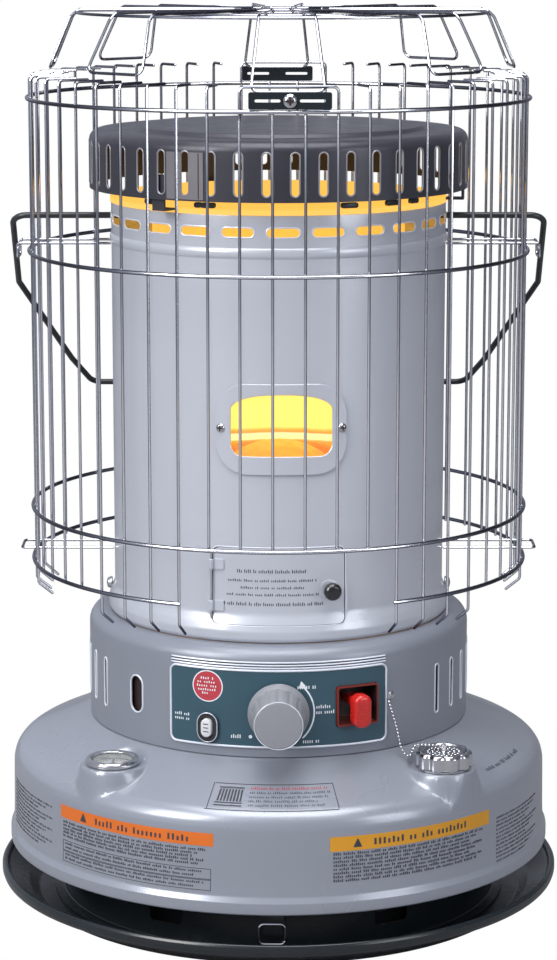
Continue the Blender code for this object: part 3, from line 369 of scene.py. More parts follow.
def obround(width, height, steps=6):
    """Outline of an upright slot with round ends, or a lying one if it is wider than high."""
    if height >= width:
        half = (height - width) / 2
        return arc((0, half), width / 2, 0, 180, steps) + arc((0, -half), width / 2, 180, 360, steps)
    half = (width - height) / 2
    return arc((half, 0), height / 2, -90, 90, steps) + arc((-half, 0), height / 2, 90, 270, steps)


def sheet_outline(path, wall):
    """Closed outline of a bent sheet: the path and its copy on the right-hand side."""
    points = [Vector(p) for p in path]
    inner = []
    for index, point in enumerate(points):
        ahead = (points[min(index + 1, len(points) - 1)] - points[min(index, len(points) - 2)]).normalized()
        behind = (points[max(index, 1)] - points[max(index - 1, 0)]).normalized()
        side = Vector((ahead.y + behind.y, -ahead.x - behind.x)).normalized()
        inner.append(point + side * wall / max(0.5, side.dot(Vector((ahead.y, -ahead.x)))))
    return [tuple(p) for p in points + inner[::-1]]


END_ROUNDING = ((0.55, 0.9), (0.92, 0.45))     # steps outwards and sizes, in wire radii


def skin(rings, closed=False):
    """A shape over a stack of rings of points; it has two ends, or the last ring joins the first."""
    count = len(rings[0])
    faces = []
    for level in range(len(rings) if closed else len(rings) - 1):
        low, high = level * count, (level + 1) % len(rings) * count
        faces += [(low + k, low + (k + 1) % count, high + (k + 1) % count, high + k) for k in range(count)]
    if not closed:
        end = (len(rings) - 1) * count
        faces += [tuple(range(count - 1, -1, -1)), tuple(range(end, end + count))]
    return [Vector(p) for ring in rings for p in ring], faces


def lathe(outline, steps=64, shape=None):
    """A closed outline of (radius, z) points turned about Z; shape(radius, z, turn) may flute it."""
    points, rings = [], []
    for radius, z in outline:
        if radius < 1e-7:
            rings.append([len(points)])
            points.append(Vector((0, 0, z)))
            continue
        rings.append(list(range(len(points), len(points) + steps)))
        for k in range(steps):
            turn = math.tau * k / steps
            at = shape(radius, z, turn) if shape else radius
            points.append(Vector((at * math.sin(turn), -at * math.cos(turn), z)))
    faces = []
    for one, other in zip(rings, rings[1:] + rings[:1]):
        for k in range(steps):
            quad = (one[k % len(one)], one[(k + 1) % steps % len(one)],
                    other[(k + 1) % steps % len(other)], other[k % len(other)])
            face = tuple(dict.fromkeys(quad))
            if len(face) > 2:
                faces.append(face)
    return points, faces


def inset(outline, distance):
    """An outline moved inwards; the outline runs anticlockwise."""
    made = []
    for index, point in enumerate(outline):
        here = Vector(point)
        before = (here - Vector(outline[index - 1])).normalized()
        after = (Vector(outline[(index + 1) % len(outline)]) - here).normalized()
        side = Vector((-before.y - after.y, before.x + after.x))
        side = side.normalized() if side.length > 1e-9 else Vector((-before.y, before.x))
        made.append(here + side * distance / max(0.5, side.dot(Vector((-before.y, before.x)))))
    return made


def prism(outline, low, high, edge=0.0, steps=3, sides="both"):
    """An outline in local XY carried along local Z, with rounded edges."""
    layers = []
    for k in range(steps + 1 if edge else 1):
        turn = math.pi / 2 * k / steps if edge else math.pi / 2
        layers.append((edge * (1 - math.sin(turn)), edge * (1 - math.cos(turn))))
    bottom = layers if sides == "both" else layers[-1:]
    stack = [(inwards, low + (up if sides == "both" else 0.0)) for inwards, up in bottom]
    stack += [(inwards, high - up) for inwards, up in layers[::-1]]
    return skin([[(p[0], p[1], z) for p in (inset(outline, inwards) if inwards else outline)]
                 for inwards, z in stack])


def tubes(paths, radius, sides=10, closed=False):
    """Round wires along paths of points, with rounded ends if they are open."""
    wires = []
    for path in paths:
        path = [Vector(p) for p in path]
        count = len(path)
        tangents = []
        for k in range(count):
            before = path[k - 1] if closed or k else path[0]
            after = path[(k + 1) % count] if closed or k < count - 1 else path[-1]
            tangents.append((after - before).normalized())
        normal = tangents[0].orthogonal().normalized()
        if abs(tangents[0].z) < 0.9:
            normal = (Vector((0, 0, 1)) - tangents[0] * tangents[0].z).normalized()
        spots = []
        for point, tangent in zip(path, tangents):
            normal = (normal - tangent * normal.dot(tangent)).normalized()
            spots.append((point, normal.copy(), tangent.cross(normal), radius))
        if not closed:
            first, last = spots[0], spots[-1]
            start = [(first[0] - tangents[0] * radius * out, first[1], first[2], radius * size)
                     for out, size in END_ROUNDING[::-1]]
            spots = start + spots + [(last[0] + tangents[-1] * radius * out, last[1], last[2], radius * size)
                                     for out, size in END_ROUNDING]
        turns = [math.tau * k / sides for k in range(sides)]
        wires.append(skin([[centre + (one * math.cos(t) + other * math.sin(t)) * size for t in turns]
                           for centre, one, other, size in spots], closed))
    return joined(*wires)


def ring_path(radius, z, steps, start=0.0, sweep=360.0):
    """Points round the heater at one height; part of a turn has both its ends."""
    count = steps if sweep == 360.0 else steps + 1
    return [polar(radius, start + sweep * k / steps, z) for k in range(count)]


def bent(corners, bend, steps=5):
    """A wire's path through corner points, each corner rounded."""
    path = [Vector(corners[0])]
    for before, corner, after in zip(corners, corners[1:], corners[2:]):
        path += corner_arc(before, corner, after, bend, steps, 89, Vector.slerp)
    return path + [Vector(corners[-1])]


def ball(centre, radius, steps=10):
    outline = [(radius * math.sin(math.pi * k / 6), -radius * math.cos(math.pi * k / 6)) for k in range(7)]
    outline[0], outline[-1] = (0.0, -radius), (0.0, radius)
    return placed(lathe(outline, steps), Matrix.Translation(centre))


def in_polygon(points, polygon):
    """Which of the points lie inside a polygon."""
    x, y = points[:, 0], points[:, 1]
    inside = np.zeros(len(points), bool)
    for (ax, ay), (bx, by) in zip(polygon, np.roll(polygon, -1, axis=0)):
        crossing = (ay > y) != (by > y)
        safe = np.where(by == ay, 1.0, by - ay)
        inside ^= crossing & (x < (bx - ax) * (y - ay) / safe + ax)
    return inside


def edge_distance(points, polygon):
    """Distance of points to a polygon's outline."""
    best = np.full(len(points), 1e9)
    for a, b in zip(polygon, np.roll(polygon, -1, axis=0)):
        along = b - a
        share = np.clip(((points - a) @ along) / max(along @ along, 1e-18), 0, 1)
        best = np.minimum(best, np.linalg.norm(points - a - share[:, None] * along, axis=1))
    return best


def triangulated(holes, border, inside=()):
    """Triangles over points and polygons, without the holes and what is past the border."""
    points, edges = [tuple(p) for p in inside], []
    for loop in holes + ([border] if border is not None else []):
        start = len(points)
        points += [tuple(p) for p in loop]
        edges += [(start + k, start + (k + 1) % len(loop)) for k in range(len(loop))]
    made, _, triangles, _, _, _ = delaunay_2d_cdt([Vector(p) for p in points], edges, [], 0, 1e-7)
    spots = np.array([tuple(p) for p in made])
    faces = np.array([tuple(t) for t in triangles])
    middles = spots[faces].mean(axis=1)
    good = np.ones(len(faces), bool) if border is None else in_polygon(middles, border)
    for hole in holes:
        good &= ~in_polygon(middles, hole)
    return spots, faces[good]


def walled(outer, inner, triangles):
    """A closed shape from the two sides of a sheet, with a wall along every open edge."""
    count = len(outer)
    faces = [tuple(int(v) for v in face) for face in triangles]
    used = dict.fromkeys((face[k - 1], face[k]) for face in faces for k in range(3))
    shell = faces + [tuple(v + count for v in face[::-1]) for face in faces]
    shell += [(b, a, a + count, b + count) for a, b in used if (b, a) not in used]
    return [Vector(p) for p in outer] + [Vector(p) for p in inner], shell


def pierced(path, wall, holes=(), span=(-180.0, 180.0), columns=STEPS, outline=None, emboss=None,
            dense=(), moved=None):
    """A sheet of revolution with holes, as one closed shape.

    The path of (radius, z) points runs outwards and down, with the wall on its inner side. Holes and the
    outline are polygons of (angle, z) on its upright part. emboss(angle, z) lifts the sheet, dense holds
    lists of further (angle, z) points, and moved(points, depth) reshapes the sheet last.
    """
    line = np.array(path, float)
    runs = np.r_[0, np.cumsum(np.linalg.norm(np.diff(line, axis=0), axis=1))]
    tangent = np.gradient(line, runs, axis=0)
    tangent /= np.linalg.norm(tangent, axis=1)[:, None]
    normal = np.stack([-tangent[:, 1], tangent[:, 0]], axis=1)
    scale = line[:, 0].max()
    falling = line[::-1]

    def flat(polygon):
        loop = np.array(polygon, float)
        along = np.interp(loop[:, 1], falling[:, 1], runs[::-1])
        return np.stack([np.radians(loop[:, 0]) * scale, along], axis=1)

    loops = [flat(hole) for hole in holes]
    border = flat(outline) if outline is not None else None
    rows = []
    for low, high in zip(runs, runs[1:]):
        parts = max(1, math.ceil((high - low) / 0.016))
        rows += [low + (high - low) * k / parts for k in range(parts)]
    rows.append(runs[-1])
    angles = np.linspace(span[0], span[1], columns + 1)
    grid = np.stack(np.meshgrid(np.radians(angles) * scale, rows), axis=-1).reshape(-1, 2)
    for more in dense:
        grid = np.concatenate([grid, flat(more)])
    keep = np.ones(len(grid), bool)
    for loop in loops:
        low, high = loop.min(0) - 1e-3, loop.max(0) + 1e-3
        close = np.all((grid > low) & (grid < high), axis=1)
        spot = np.where(close)[0]
        if len(spot):
            bad = in_polygon(grid[spot], loop) | (edge_distance(grid[spot], loop) < 4e-4)
            keep[spot[bad]] = False
    if border is not None:
        keep &= in_polygon(grid, border) & (edge_distance(grid, border) > 4e-4)
    spots, faces = triangulated(loops, border, grid[keep])
    angle = np.degrees(spots[:, 0] / scale)
    place = np.stack([np.interp(spots[:, 1], runs, line[:, k]) for k in (0, 1)], axis=1)
    facing = np.stack([np.interp(spots[:, 1], runs, normal[:, k]) for k in (0, 1)], axis=1)
    facing /= np.linalg.norm(facing, axis=1)[:, None]
    lift = emboss(angle, place[:, 1]) if emboss else np.zeros(len(spots))

    def solid(offset):
        flat_point = place + facing * offset[:, None]
        turn = np.radians(angle)
        return np.stack([flat_point[:, 0] * np.sin(turn), -flat_point[:, 0] * np.cos(turn), flat_point[:, 1]],
                        axis=1)

    outer, inner = solid(lift), solid(lift - wall)
    if moved:
        outer, inner = moved(outer, 0.0), moved(inner, wall)
    names, index = {}, []
    for number, point in enumerate(np.round(outer, 6)):
        index.append(names.setdefault(tuple(point), number))
    index = np.array(index)
    faces = index[faces]
    faces = faces[(faces[:, 0] != faces[:, 1]) & (faces[:, 1] != faces[:, 2]) & (faces[:, 0] != faces[:, 2])]
    return walled(outer, inner, faces)


def hole_at(outline, angle, z, radius):
    """A flat outline in metres as a polygon of (angle, z) on a cylinder, its long sides in short steps."""
    made = []
    for (ax, ay), (bx, by) in zip(outline, outline[1:] + outline[:1]):
        parts = max(1, math.ceil(abs(bx - ax) / 0.004))
        for k in range(parts):
            x, y = ax + (bx - ax) * k / parts, ay + (by - ay) * k / parts
            made.append((angle + math.degrees(x / radius), z + y))
    return made


def piece(name, shape, paint, body=ROOT, nodes=(), slot=None, matrix=None):
    """A finished object that rides on a CAD body."""
    bm = bmesh.new()
    points = [bm.verts.new(p) for p in shape[0]]
    for face in shape[1]:
        corners = [points[index] for index in dict.fromkeys(face)]
        if len(corners) > 2 and not bm.faces.get(corners):
            bm.faces.new(corners)
    bmesh.ops.remove_doubles(bm, verts=bm.verts, dist=1e-6)
    loose = [v for v in bm.verts if not v.link_faces]
    bmesh.ops.delete(bm, geom=loose, context="VERTS")
    bmesh.ops.recalc_face_normals(bm, faces=bm.faces)
    if matrix:
        bmesh.ops.transform(bm, matrix=matrix, verts=bm.verts)
    mesh = bpy.data.meshes.new(name)
    bm.to_mesh(mesh)
    bm.free()
    mesh.materials.append(PAINTS[paint])
    mesh.shade_smooth()
    mesh.set_sharp_from_angle(angle=math.radians(32))
    made = bpy.data.objects.new(name, mesh)
    bpy.context.scene.collection.objects.link(made)
    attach(made, body)
    if nodes:
        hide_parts(*nodes)
    return made


# ---- printed marks -----------------------------------------------------------------
def slab(grid, closed=False, low=0.00005, high=0.00016):
    """A thin closed layer over a grid of (point, normal)."""
    rows, columns = len(grid), len(grid[0])
    points = [p + n * high for row in grid for p, n in row] + [p + n * low for row in grid for p, n in row]
    half = rows * columns
    faces = []
    for r in range(rows - 1):
        for c in range(columns if closed else columns - 1):
            a, b = r * columns + c, r * columns + (c + 1) % columns
            d, e = a + columns, b + columns
            faces += [(a, b, e, d), (half + d, half + e, half + b, half + a)]
    for r in (0, rows - 1):
        for c in range(columns if closed else columns - 1):
            a, b = r * columns + c, r * columns + (c + 1) % columns
            faces.append((a, b, half + b, half + a) if r else (b, a, half + a, half + b))
    if not closed:
        for r in range(rows - 1):
            a, b = r * columns, (r + 1) * columns
            faces += [(a, b, half + b, half + a),
                      (b + columns - 1, a + columns - 1, half + a + columns - 1, half + b + columns - 1)]
    return points, faces


def quad(place, corners, columns=1, rows=1):
    """A printed patch between four corners (low left, low right, high right, high left)."""
    low_left, low_right, high_right, high_left = [Vector(c) for c in corners]
    grid = []
    for r in range(rows + 1):
        left = low_left.lerp(high_left, r / rows)
        right = low_right.lerp(high_right, r / rows)
        grid.append([place(*left.lerp(right, c / columns)) for c in range(columns + 1)])
    return slab(grid)


def bar(place, left, right, low, high, columns=None, rows=1):
    """A printed patch with its sides along the two directions of the place."""
    return quad(place, [(left, low), (right, low), (right, high), (left, high)],
                columns or max(1, math.ceil((right - left) / 1.5)), rows)


def words(place, rng, left, right, base, height, pitch, thick=0.45):
    """A line of unreadable strokes between two angles, like small print seen from afar."""
    shapes = []
    here = left
    while here < right:
        for _ in range(rng.randint(2, 8)):
            tall = height * rng.choice((0.7, 0.72, 1.0))
            if here + pitch * 0.7 > right:
                return shapes
            shapes.append(bar(place, here, here + pitch * thick, base, base + tall))
            here += pitch
        here += pitch * 0.9
    return shapes


def on_cylinder(radius):
    def place(angle, z):
        return polar(radius, angle, z), polar(1.0, angle, 0.0)
    return place


def round_print(place, middle, radius, inner, outer, segments=48, start=0.0, sweep=360.0):
    """A printed ring or part of one, about a middle (angle, z), on a cylinder of the radius."""
    grid = []
    for size in (inner, (inner + outer) / 2, outer):
        row = []
        for k in range(segments if sweep == 360.0 else segments + 1):
            turn = math.radians(start + sweep * k / segments)
            row.append(place(middle[0] + math.degrees(size * math.cos(turn) / radius),
                             middle[1] + size * math.sin(turn)))
        grid.append(row)
    return slab(grid, closed=sweep == 360.0)


# ---- chain -------------------------------------------------------------------------
CHAIN_D = 0.0024
CHAIN_ROUTE = (
    (0.0862, -0.1337, 0.1905), (0.0885, -0.1345, 0.183), (0.0922, -0.135, 0.17),
    (0.0955, -0.1362, 0.156), (0.099, -0.1375, 0.1492), (0.1028, -0.1385, 0.1482),
    (0.1047, -0.1392, 0.1525), (0.1068, -0.14, 0.1569), (0.112, -0.1412, 0.1578),
    (0.118, -0.1422, 0.1579), (0.1262, -0.1429, 0.158),
)


def smooth_route(knots, steps):
    """Points of the smooth curve through the knots."""
    knots = [Vector(k) for k in knots]
    path = []
    for index in range(len(knots) - 1):
        a, b = knots[max(index - 1, 0)], knots[index]
        c, d = knots[index + 1], knots[min(index + 2, len(knots) - 1)]
        for step in range(steps):
            t = step / steps
            path.append(0.5 * (2 * b + (c - a) * t + (2 * a - 5 * b + 4 * c - d) * t ** 2
                               + (3 * b - a - 3 * c + d) * t ** 3))
    return path + [knots[-1]]


def even_points(path, pitch):
    """Points at even distances along a path, ends included."""
    lengths = [0.0]
    for a, b in zip(path, path[1:]):
        lengths.append(lengths[-1] + (b - a).length)
    count = round(lengths[-1] / pitch)
    made = []
    for k in range(count + 1):
        here = lengths[-1] * k / count
        index = max(i for i in range(len(path) - 1) if lengths[i] <= here + 1e-12)
        share = (here - lengths[index]) / max(lengths[index + 1] - lengths[index], 1e-12)
        made.append(path[index].lerp(path[index + 1], min(share, 1.0)))
    return made


def make_chain():
    path = smooth_route(CHAIN_ROUTE, 8)
    beads = [ball(point, CHAIN_D / 2) for point in even_points(path, 0.0029)]
    links = tubes([path], 0.0005, 6)
    chain = piece("fine_chain", joined(*beads, links), "chrome", nodes=("cap_chain",), slot="chrome_wire")
    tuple(CHAIN_ROUTE[0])
    [tuple(p) for p in path]


# ---- base ---------------------------------------------------------------------------
TANK_PATH = profile(
    (44, 151.2), (155, 151.2, 4), (165, 146.5, 50), (175, 141.9, 50), (185, 137.4, 50), (195, 132.9, 50),
    (203, 129.5, 50), (209, 126.9, 20), (213.5, 123.9, 12), (217, 119, 12), (218.5, 113, 20), (219, 75, 50),
    (219.5, 60, 4), (222.2, 55.6, 2), (222.2, 46, 2), (34.9, 46), closed=False)


def tank_z(radius):
    """Height of the tank's sloping top."""
    top = [p for p in TANK_PATH if p[1] > 0.114]
    return float(np.interp(radius, [p[0] for p in top], [p[1] for p in top]))


def tank_wall(angle, z, lift=0.0):
    """A place on the tank's side and the way it faces."""
    side = [p for p in TANK_PATH if 0.0465 < p[1] < 0.125]
    radius = float(np.interp(z, [p[1] for p in side[::-1]], [p[0] for p in side[::-1]]))
    return polar(radius + lift, angle, z), polar(1.0, angle, 0.0)


def tank_slope(angle, radius):
    """A place on the tank's top, by angle and radius, and the way it faces."""
    fall = (tank_z(radius + 0.002) - tank_z(radius - 0.002)) / 0.004
    return polar(radius, angle, tank_z(radius)), (polar(-fall, angle, 0) + Vector((0, 0, 1))).normalized()


def ring_on_top(place, size, count=64):
    """A circle in plan on the tank's top, as (angle, z) points that stay on it."""
    centre = polar(*place, 0)
    made = []
    for k in range(count):
        turn = math.tau * k / count
        x, y = centre.x + size * math.cos(turn), centre.y + size * math.sin(turn)
        radius = math.hypot(x, y)
        if 0.157 < radius < 0.218:
            made.append((math.degrees(math.atan2(x, -y)), tank_z(radius)))
    return made


def press_seats(points, depth):
    """Level round seats for the gauge and the cap in the sloping top."""
    for place, seat in ((GAUGE, GAUGE_SEAT_Z), (CAP, CAP_SEAT_Z)):
        centre = polar(*place, 0)
        away = np.hypot(points[:, 0] - centre.x, points[:, 1] - centre.y)
        share = np.clip((0.0292 - away) / 0.0044, 0, 1)
        share = share * share * (3 - 2 * share) * (points[:, 2] > 0.1)
        points[:, 2] += (seat - depth - points[:, 2]) * share
    return points


def make_base():
    tray = profile((0, 0), (200.5, 0, 3), (209.2, 6.4, 6), (226.2, 15, 2), (229, 16, 2), (230, 19, 3),
                   (230, 22.8, 1.2), (228.8, 25, 1.2), (226.6, 25, 1.2), (225.2, 23.6, 1.2), (225.2, 20, 2),
                   (223.2, 17.6, 6), (208, 9.6, 6), (199.5, 1.6, 3), (0, 1.6), steps=3)
    piece("fine_tray", lathe(tray, STEPS), "black_enamel", nodes=("drip_tray",), slot="black_paint")
    ring = profile((167, 45.6), (176, 45.6), (178, 3.4), (186, 3.4), radius=1.5, steps=3, closed=False)
    holes = [hole_at(rectangle(0.03, 0.016, 0.004), 30 + 60 * side, 0.025, 0.177) for side in range(-3, 3)]
    piece("fine_base_ring", pierced(ring, SHEET, holes), "black_enamel", nodes=("tank_base_ring",),
          slot="black_paint")

    holes, dense = [], []
    for place, bore in ((GAUGE, 0.018), (CAP, 0.017)):
        holes.append(ring_on_top(place, bore, 40))
        dense += [ring_on_top(place, size / 1000) for size in (20.5, 23.5, 24.7, 25.5, 26.2, 26.9, 27.6,
            28.4, 29.3)]
    tank = pierced(TANK_PATH, SHEET, holes, dense=dense, moved=press_seats)
    piece("fine_tank", tank, "tank_enamel", nodes=("fuel_tank",), slot="body_paint")

    clip = radial(0.189, -1.5, 0)
    tongue = profile((-10.5, 27.5), (10.5, 27.5), (8.8, 37.5), (-8.8, 37.5), radius=1.5, steps=3)
    loop = [Vector((x, y, 0.0008)) for x, y in rectangle(0.0205, 0.016, 0.004, 5, y=0.0202)]
    piece("fine_tray_clip", tubes([loop], 0.0012, 8, closed=True), "wire", nodes=("tray_clip",), slot="zinc",
          matrix=clip)
    piece("tray_clip_tongue", prism(tongue, 0.0, 0.0016, 0.0005), "black_wire", slot="zinc", matrix=clip)


def make_cap():
    def scallop(radius, z, turn):
        wave = 0.5 + 0.5 * math.cos(CAP_GRIPS * turn)
        return radius - 0.0021 * wave ** 2 if radius > 0.019 else radius

    outline = profile((0, 149), (17.2, 149, 0.5), (17.2, 142.4, 0.3), (22.4, 142.4, 0.6), (22.4, 152, 1.2),
        (20.8, 154.5, 1.2), (18, 154.5, 0.6), (16.8, 153.2, 0.6), (15, 152.8, 0.3), (3, 153, 0.4),
        (2, 153.6, 0.4), (2, 158.8, 0.4), (1.2, 159.2, 0.3), (0, 159.2))
    dots = []
    for ring, count in ((0.005, 8), (0.0086, 14), (0.0122, 20)):
        for k in range(count):
            turn = math.tau * (k + 0.5 * (ring > 0.008)) / count
            dots.append(ball((ring * math.cos(turn), ring * math.sin(turn), 0.1527), 0.0011, 8))
    piece("fine_cap", joined(lathe(outline, 120, scallop), *dots), "chrome", "cap_group", ("fuel_cap",),
          "chrome_wire", matrix=upright(*CAP))
    # painted shade: a dark disc inside the rim standing in for the shaded recess in the cap's top
    shade = profile((3.4, 152.9), (15.6, 152.9), (15.6, 153.25), (3.4, 153.25))
    piece("cap_recess_shade", lathe(shade, 48), "cap_shade", "cap_group", slot="chrome_wire", matrix=upright(*CAP))


def on_flat(height):
    """Places on a level face, for marks in a piece's own frame."""
    def place(x, y):
        return Vector((x, y, height)), Vector((0, 0, 1))
    return place


def make_gauge():
    bezel = profile((17, 142.2), (21.5, 142.2), (21.5, 144.8), (20, 146.9), (17.5, 146.9), (16, 146),
                    (16, 145.6), (17, 145.6), radius=0.9)
    lens = profile((0, 144), (16.6, 144), (16.6, 144.7), (13, 145.6), (0, 146), radius=0.6, steps=3)
    lens[0], lens[-1] = (0.0, 0.144), (0.0, 0.146)
    face = profile((2.2, 139), (17.6, 139), (17.6, 140), (2.2, 140), radius=0.3, steps=2)
    for part, outline, steps, paint, slot in (("bezel", bezel, 72, "chrome", "chrome_wire"),
                                              ("lens", lens, 48, "lens", "clear_lens"),
                                              ("dial", face, 48, "dial", "dial_face")):
        piece(f"fine_gauge_{part}", lathe(outline, steps), paint, nodes=(f"gauge_{part}",), slot=slot,
              matrix=upright(*GAUGE))
    marks = []
    for k in range(9):
        turn = math.radians(45 + 11.25 * k)
        across = Vector((-math.sin(turn), math.cos(turn))) * 0.0004
        out = Vector((math.cos(turn), math.sin(turn)))
        inner, outer = out * (0.0128 if k % 4 else 0.0115), out * 0.0152
        marks.append(quad(on_flat(0.14), [inner - across, outer - across, outer + across, inner + across]))
    piece("gauge_marks", joined(*marks), "ink", matrix=upright(*GAUGE))


# ---- cabinet ------------------------------------------------------------------------
def cabinet_cutouts(radius):
    """Holes for the knob, the shut-off button and the igniter, in the drum and in the panel over it."""
    return [hole_at(obround(0.009, 0.009, 8), 0, KNOB_Z, radius),
            hole_at(obround(0.0106, 0.017, 8), *SHUTOFF, radius),
            hole_at(rectangle(0.0358, 0.0328, 0.002, 2), *IGNITER, radius)]


def loops(outlines, radius, out, thickness, sides=8):
    """Thin rounded beads along outlines of (angle, z) on a cylinder."""
    paths = [[polar(radius + out, angle, z) for angle, z in outline] for outline in outlines]
    return tubes(paths, thickness, sides, closed=True)


def make_cabinet():
    path = [(0.085, 0.238)] + arc((0.144, 0.227), 0.011, 90, 0, 8) + [(DRUM_R, 0.1518)]
    vents = []
    for index in range(9):
        vents += [hole_at(obround(0.005, 0.04, 6), side * (54.1 + 9.0 * index), 0.19, DRUM_R)
                  for side in (1, -1) if index or side > 0]
    vents.append(hole_at(obround(0.014, 0.03, 12), -46.2, 0.19, DRUM_R))
    hatch = hole_at(rectangle(0.082, 0.046, 0.004, 3), 180, 0.1945, DRUM_R)
    anchor = hole_at(obround(0.0036, 0.0036, 4), 34.2, 0.1945, DRUM_R)
    drum = pierced(path, SHEET, vents + [hatch, anchor] + cabinet_cutouts(DRUM_R), span=(-140, 220))
    piece("fine_drum", drum, "drum_enamel", nodes=("cabinet_drum",), slot="body_paint")
    # painted highlight: pale rings round the vents, for light caught on their edges
    piece("vent_rims", loops(vents, DRUM_R, 0.0, 0.00075), "rim_highlight", slot="body_paint")
    # painted shade: dark sheets just inside the vents, for the shaded inside of the drum
    shades = []
    for first, last in ((48.0, 122.0), (-128.0, -40.0)):
        width = math.radians(last - first) * DRUM_R
        strip = hole_at(rectangle(width, 0.052), (first + last) / 2, 0.19, DRUM_R)
        shades.append(pierced([(DRUM_R - 0.003, 0.22), (DRUM_R - 0.003, 0.16)], 0.0006,
                              span=(first - 4, last + 4), columns=40, outline=strip))
    piece("vent_shade", joined(*shades), "near_black")

    grip = hole_at(obround(0.03, 0.005, 4), 180, 0.208, DRUM_R)
    hatch_plate = pierced([(DRUM_R, 0.218), (DRUM_R, 0.171)], SHEET, span=(150, 210), columns=40,
                          outline=hole_at(rectangle(0.0812, 0.0452, 0.004, 3), 180, 0.1945, DRUM_R),
                          emboss=lambda angle, z: 0.001 * in_polygon(np.stack([angle, z], axis=1), grip))
    piece("fine_battery_cover", hatch_plate, "drum_enamel", "battery_cover_group", ("battery_cover",),
        "body_paint")

    outline = hole_at(rectangle(PANEL_R * math.radians(65.0), 0.061, 0.005, 5), 0, 0.1905, PANEL_R)
    panel = pierced([(PANEL_R, 0.2225), (PANEL_R, 0.1585)], 0.001, cabinet_cutouts(PANEL_R), span=(-36, 36),
                    columns=48, outline=outline)
    piece("fine_panel", panel, "panel", nodes=("control_panel",), slot="panel_face")
    # painted highlight: pale border and ribs, for light caught on the panel's pressed edges
    piece("panel_border", loops([outline], PANEL_R, -0.0002, 0.0009), "rim_highlight", slot="body_paint")
    run = (40, -32.3, 64.6)                         # steps, first angle and sweep
    ribs = [ring_path(DRUM_R + out, z, *run) for z, out in ((0.223, 3e-4), (0.2251, 3e-4), (0.2272, -1e-4))]
    piece("panel_ribs", tubes(ribs, 0.0007, 8), "rim_highlight", slot="body_paint")
    # painted shade: dark lines in the creases between the ribs
    crease_shade = [ring_path(DRUM_R, z, *run) for z in (0.22405, 0.22615)]
    piece("panel_rib_crease_shade", tubes(crease_shade, 0.0006, 6), "ink")


def make_knob():
    def fluted(radius, z, turn):
        if not 0.0175 < radius < 0.0213 or z < 0.0085:
            return radius
        wave = 0.5 + 0.5 * math.cos(KNOB_FLUTES * turn)
        return radius - 0.0007 * wave ** 3

    place = radial(PANEL_R + 0.0006, 0, KNOB_Z)
    outline = profile((0, 1), (23.6, 1, 0.6), (24, 3.5, 1.5), (22.6, 6, 2), (21.2, 8.5, 1), (20.6, 11, 3),
                      (19.2, 36, 1), (18.2, 38, 1.5), (0, 38.2))
    piece("fine_knob", lathe(outline, 168, fluted), "knob", "wick_control", ("wick_knob",), "light_plastic",
          matrix=place)
    # painted highlight: a thin pale ring for light caught on the edge of the knob's face
    piece("knob_edge", tubes([ring_path(0.0186, 0.0376, 64)], 0.0003, 6, closed=True), "rim_highlight",
          "wick_control", matrix=place)


def plate(outline, holes, low, high):
    """A flat plate with holes, in local XY."""
    spots, faces = triangulated([np.array(hole) for hole in holes], np.array(outline))
    return walled([(*p, high) for p in spots], [(*p, low) for p in spots], faces)


def cup(outer, inner, low, floor, high):
    """An open box in local XYZ: outer and inner outlines with the same number of points."""
    return skin([[(x, y, z) for x, y in loop]
                 for loop, z in ((outer, low), (outer, high), (inner, high), (inner, floor))])


def make_controls():
    place = radial(DRUM_R, *SHUTOFF)
    bezel = plate(obround(0.0158, 0.0226, 12), [obround(0.0106, 0.017, 12)], 0.0018, 0.0044)
    piece("fine_shutoff_bezel", bezel, "black_plastic", nodes=("shutoff_bezel",), slot="black_plastic",
          matrix=place)
    # painted highlight: pale outline for light caught on the bezel's edge
    loop = [Vector((x, y, 0.004)) for x, y in obround(0.0164, 0.0232, 12)]
    piece("shutoff_outline", tubes([loop], 0.0004, 6, closed=True), "rim_highlight", matrix=place)
    piece("fine_shutoff_button", prism(obround(0.0088, 0.0148, 10), -0.008, 0.007, 0.001, 3, "top"),
          "button", "shutoff_group", ("shutoff_button",), "light_plastic", matrix=place)
    marks = [bar(on_flat(0.007), -0.0022, 0.0022, y, y + 0.0007) for y in (-0.003, 0.0, 0.003)]
    piece("shutoff_marks", joined(*marks), "ink", "shutoff_group", matrix=place)

    place = radial(DRUM_R, *IGNITER)
    outer, inner = rectangle(0.0352, 0.0322, 0.0024, 3), rectangle(0.0326, 0.0296, 0.0016, 3)
    box = cup(outer, inner, -0.024, -0.0226, 0.0028)
    piece("fine_igniter_housing", box, "dark_red", nodes=("igniter_housing",), slot="dark_red_plastic",
          matrix=place)
    # painted shade: a dark right-hand wall and back inside the igniter's recess
    shade = prism(rectangle(0.0004, 0.029, x=0.0158), -0.0222, 0.0026)
    back = prism(rectangle(0.0318, 0.0288), -0.0225, -0.0222)
    piece("igniter_shade", joined(shade, back), "near_black", matrix=place)
    make_lever(place)


def make_lever(place):
    """Red paddle on a narrower arm, with ribs on the left of its face."""
    pivot = place @ Matrix.Translation((0, 0.003, -0.015))
    turn = Matrix.Rotation(math.radians(90), 4, "Y")
    back = turn.inverted()
    arm = profile((-24, -3.4, 1), (3, -3.4, 3), (3, 3.4, 3), (-24, 4.4, 1))
    tail = prism(rectangle(0.02, 0.003, x=0.012), -0.0028, -0.0002)
    face = prism(rectangle(0.0146, 0.0264, 0.0062, 6, -0.0016, -0.005), 0.0228, 0.0325, 0.0034, 5, "top")
    ribs = [prism(rectangle(0.0062, 0.0011, 0.0004, 2, -0.0048, 0.0028 - 0.0024 * k), 0.031, 0.0328)
            for k in range(7)]
    piece("fine_igniter_lever", joined(prism(arm, -0.0058, 0.004, 0.0008, 2), tail,
                                       placed(joined(face, *ribs), back)), "red",
          "igniter_lever_group", ("igniter_lever",), "red_plastic", matrix=pivot @ turn)


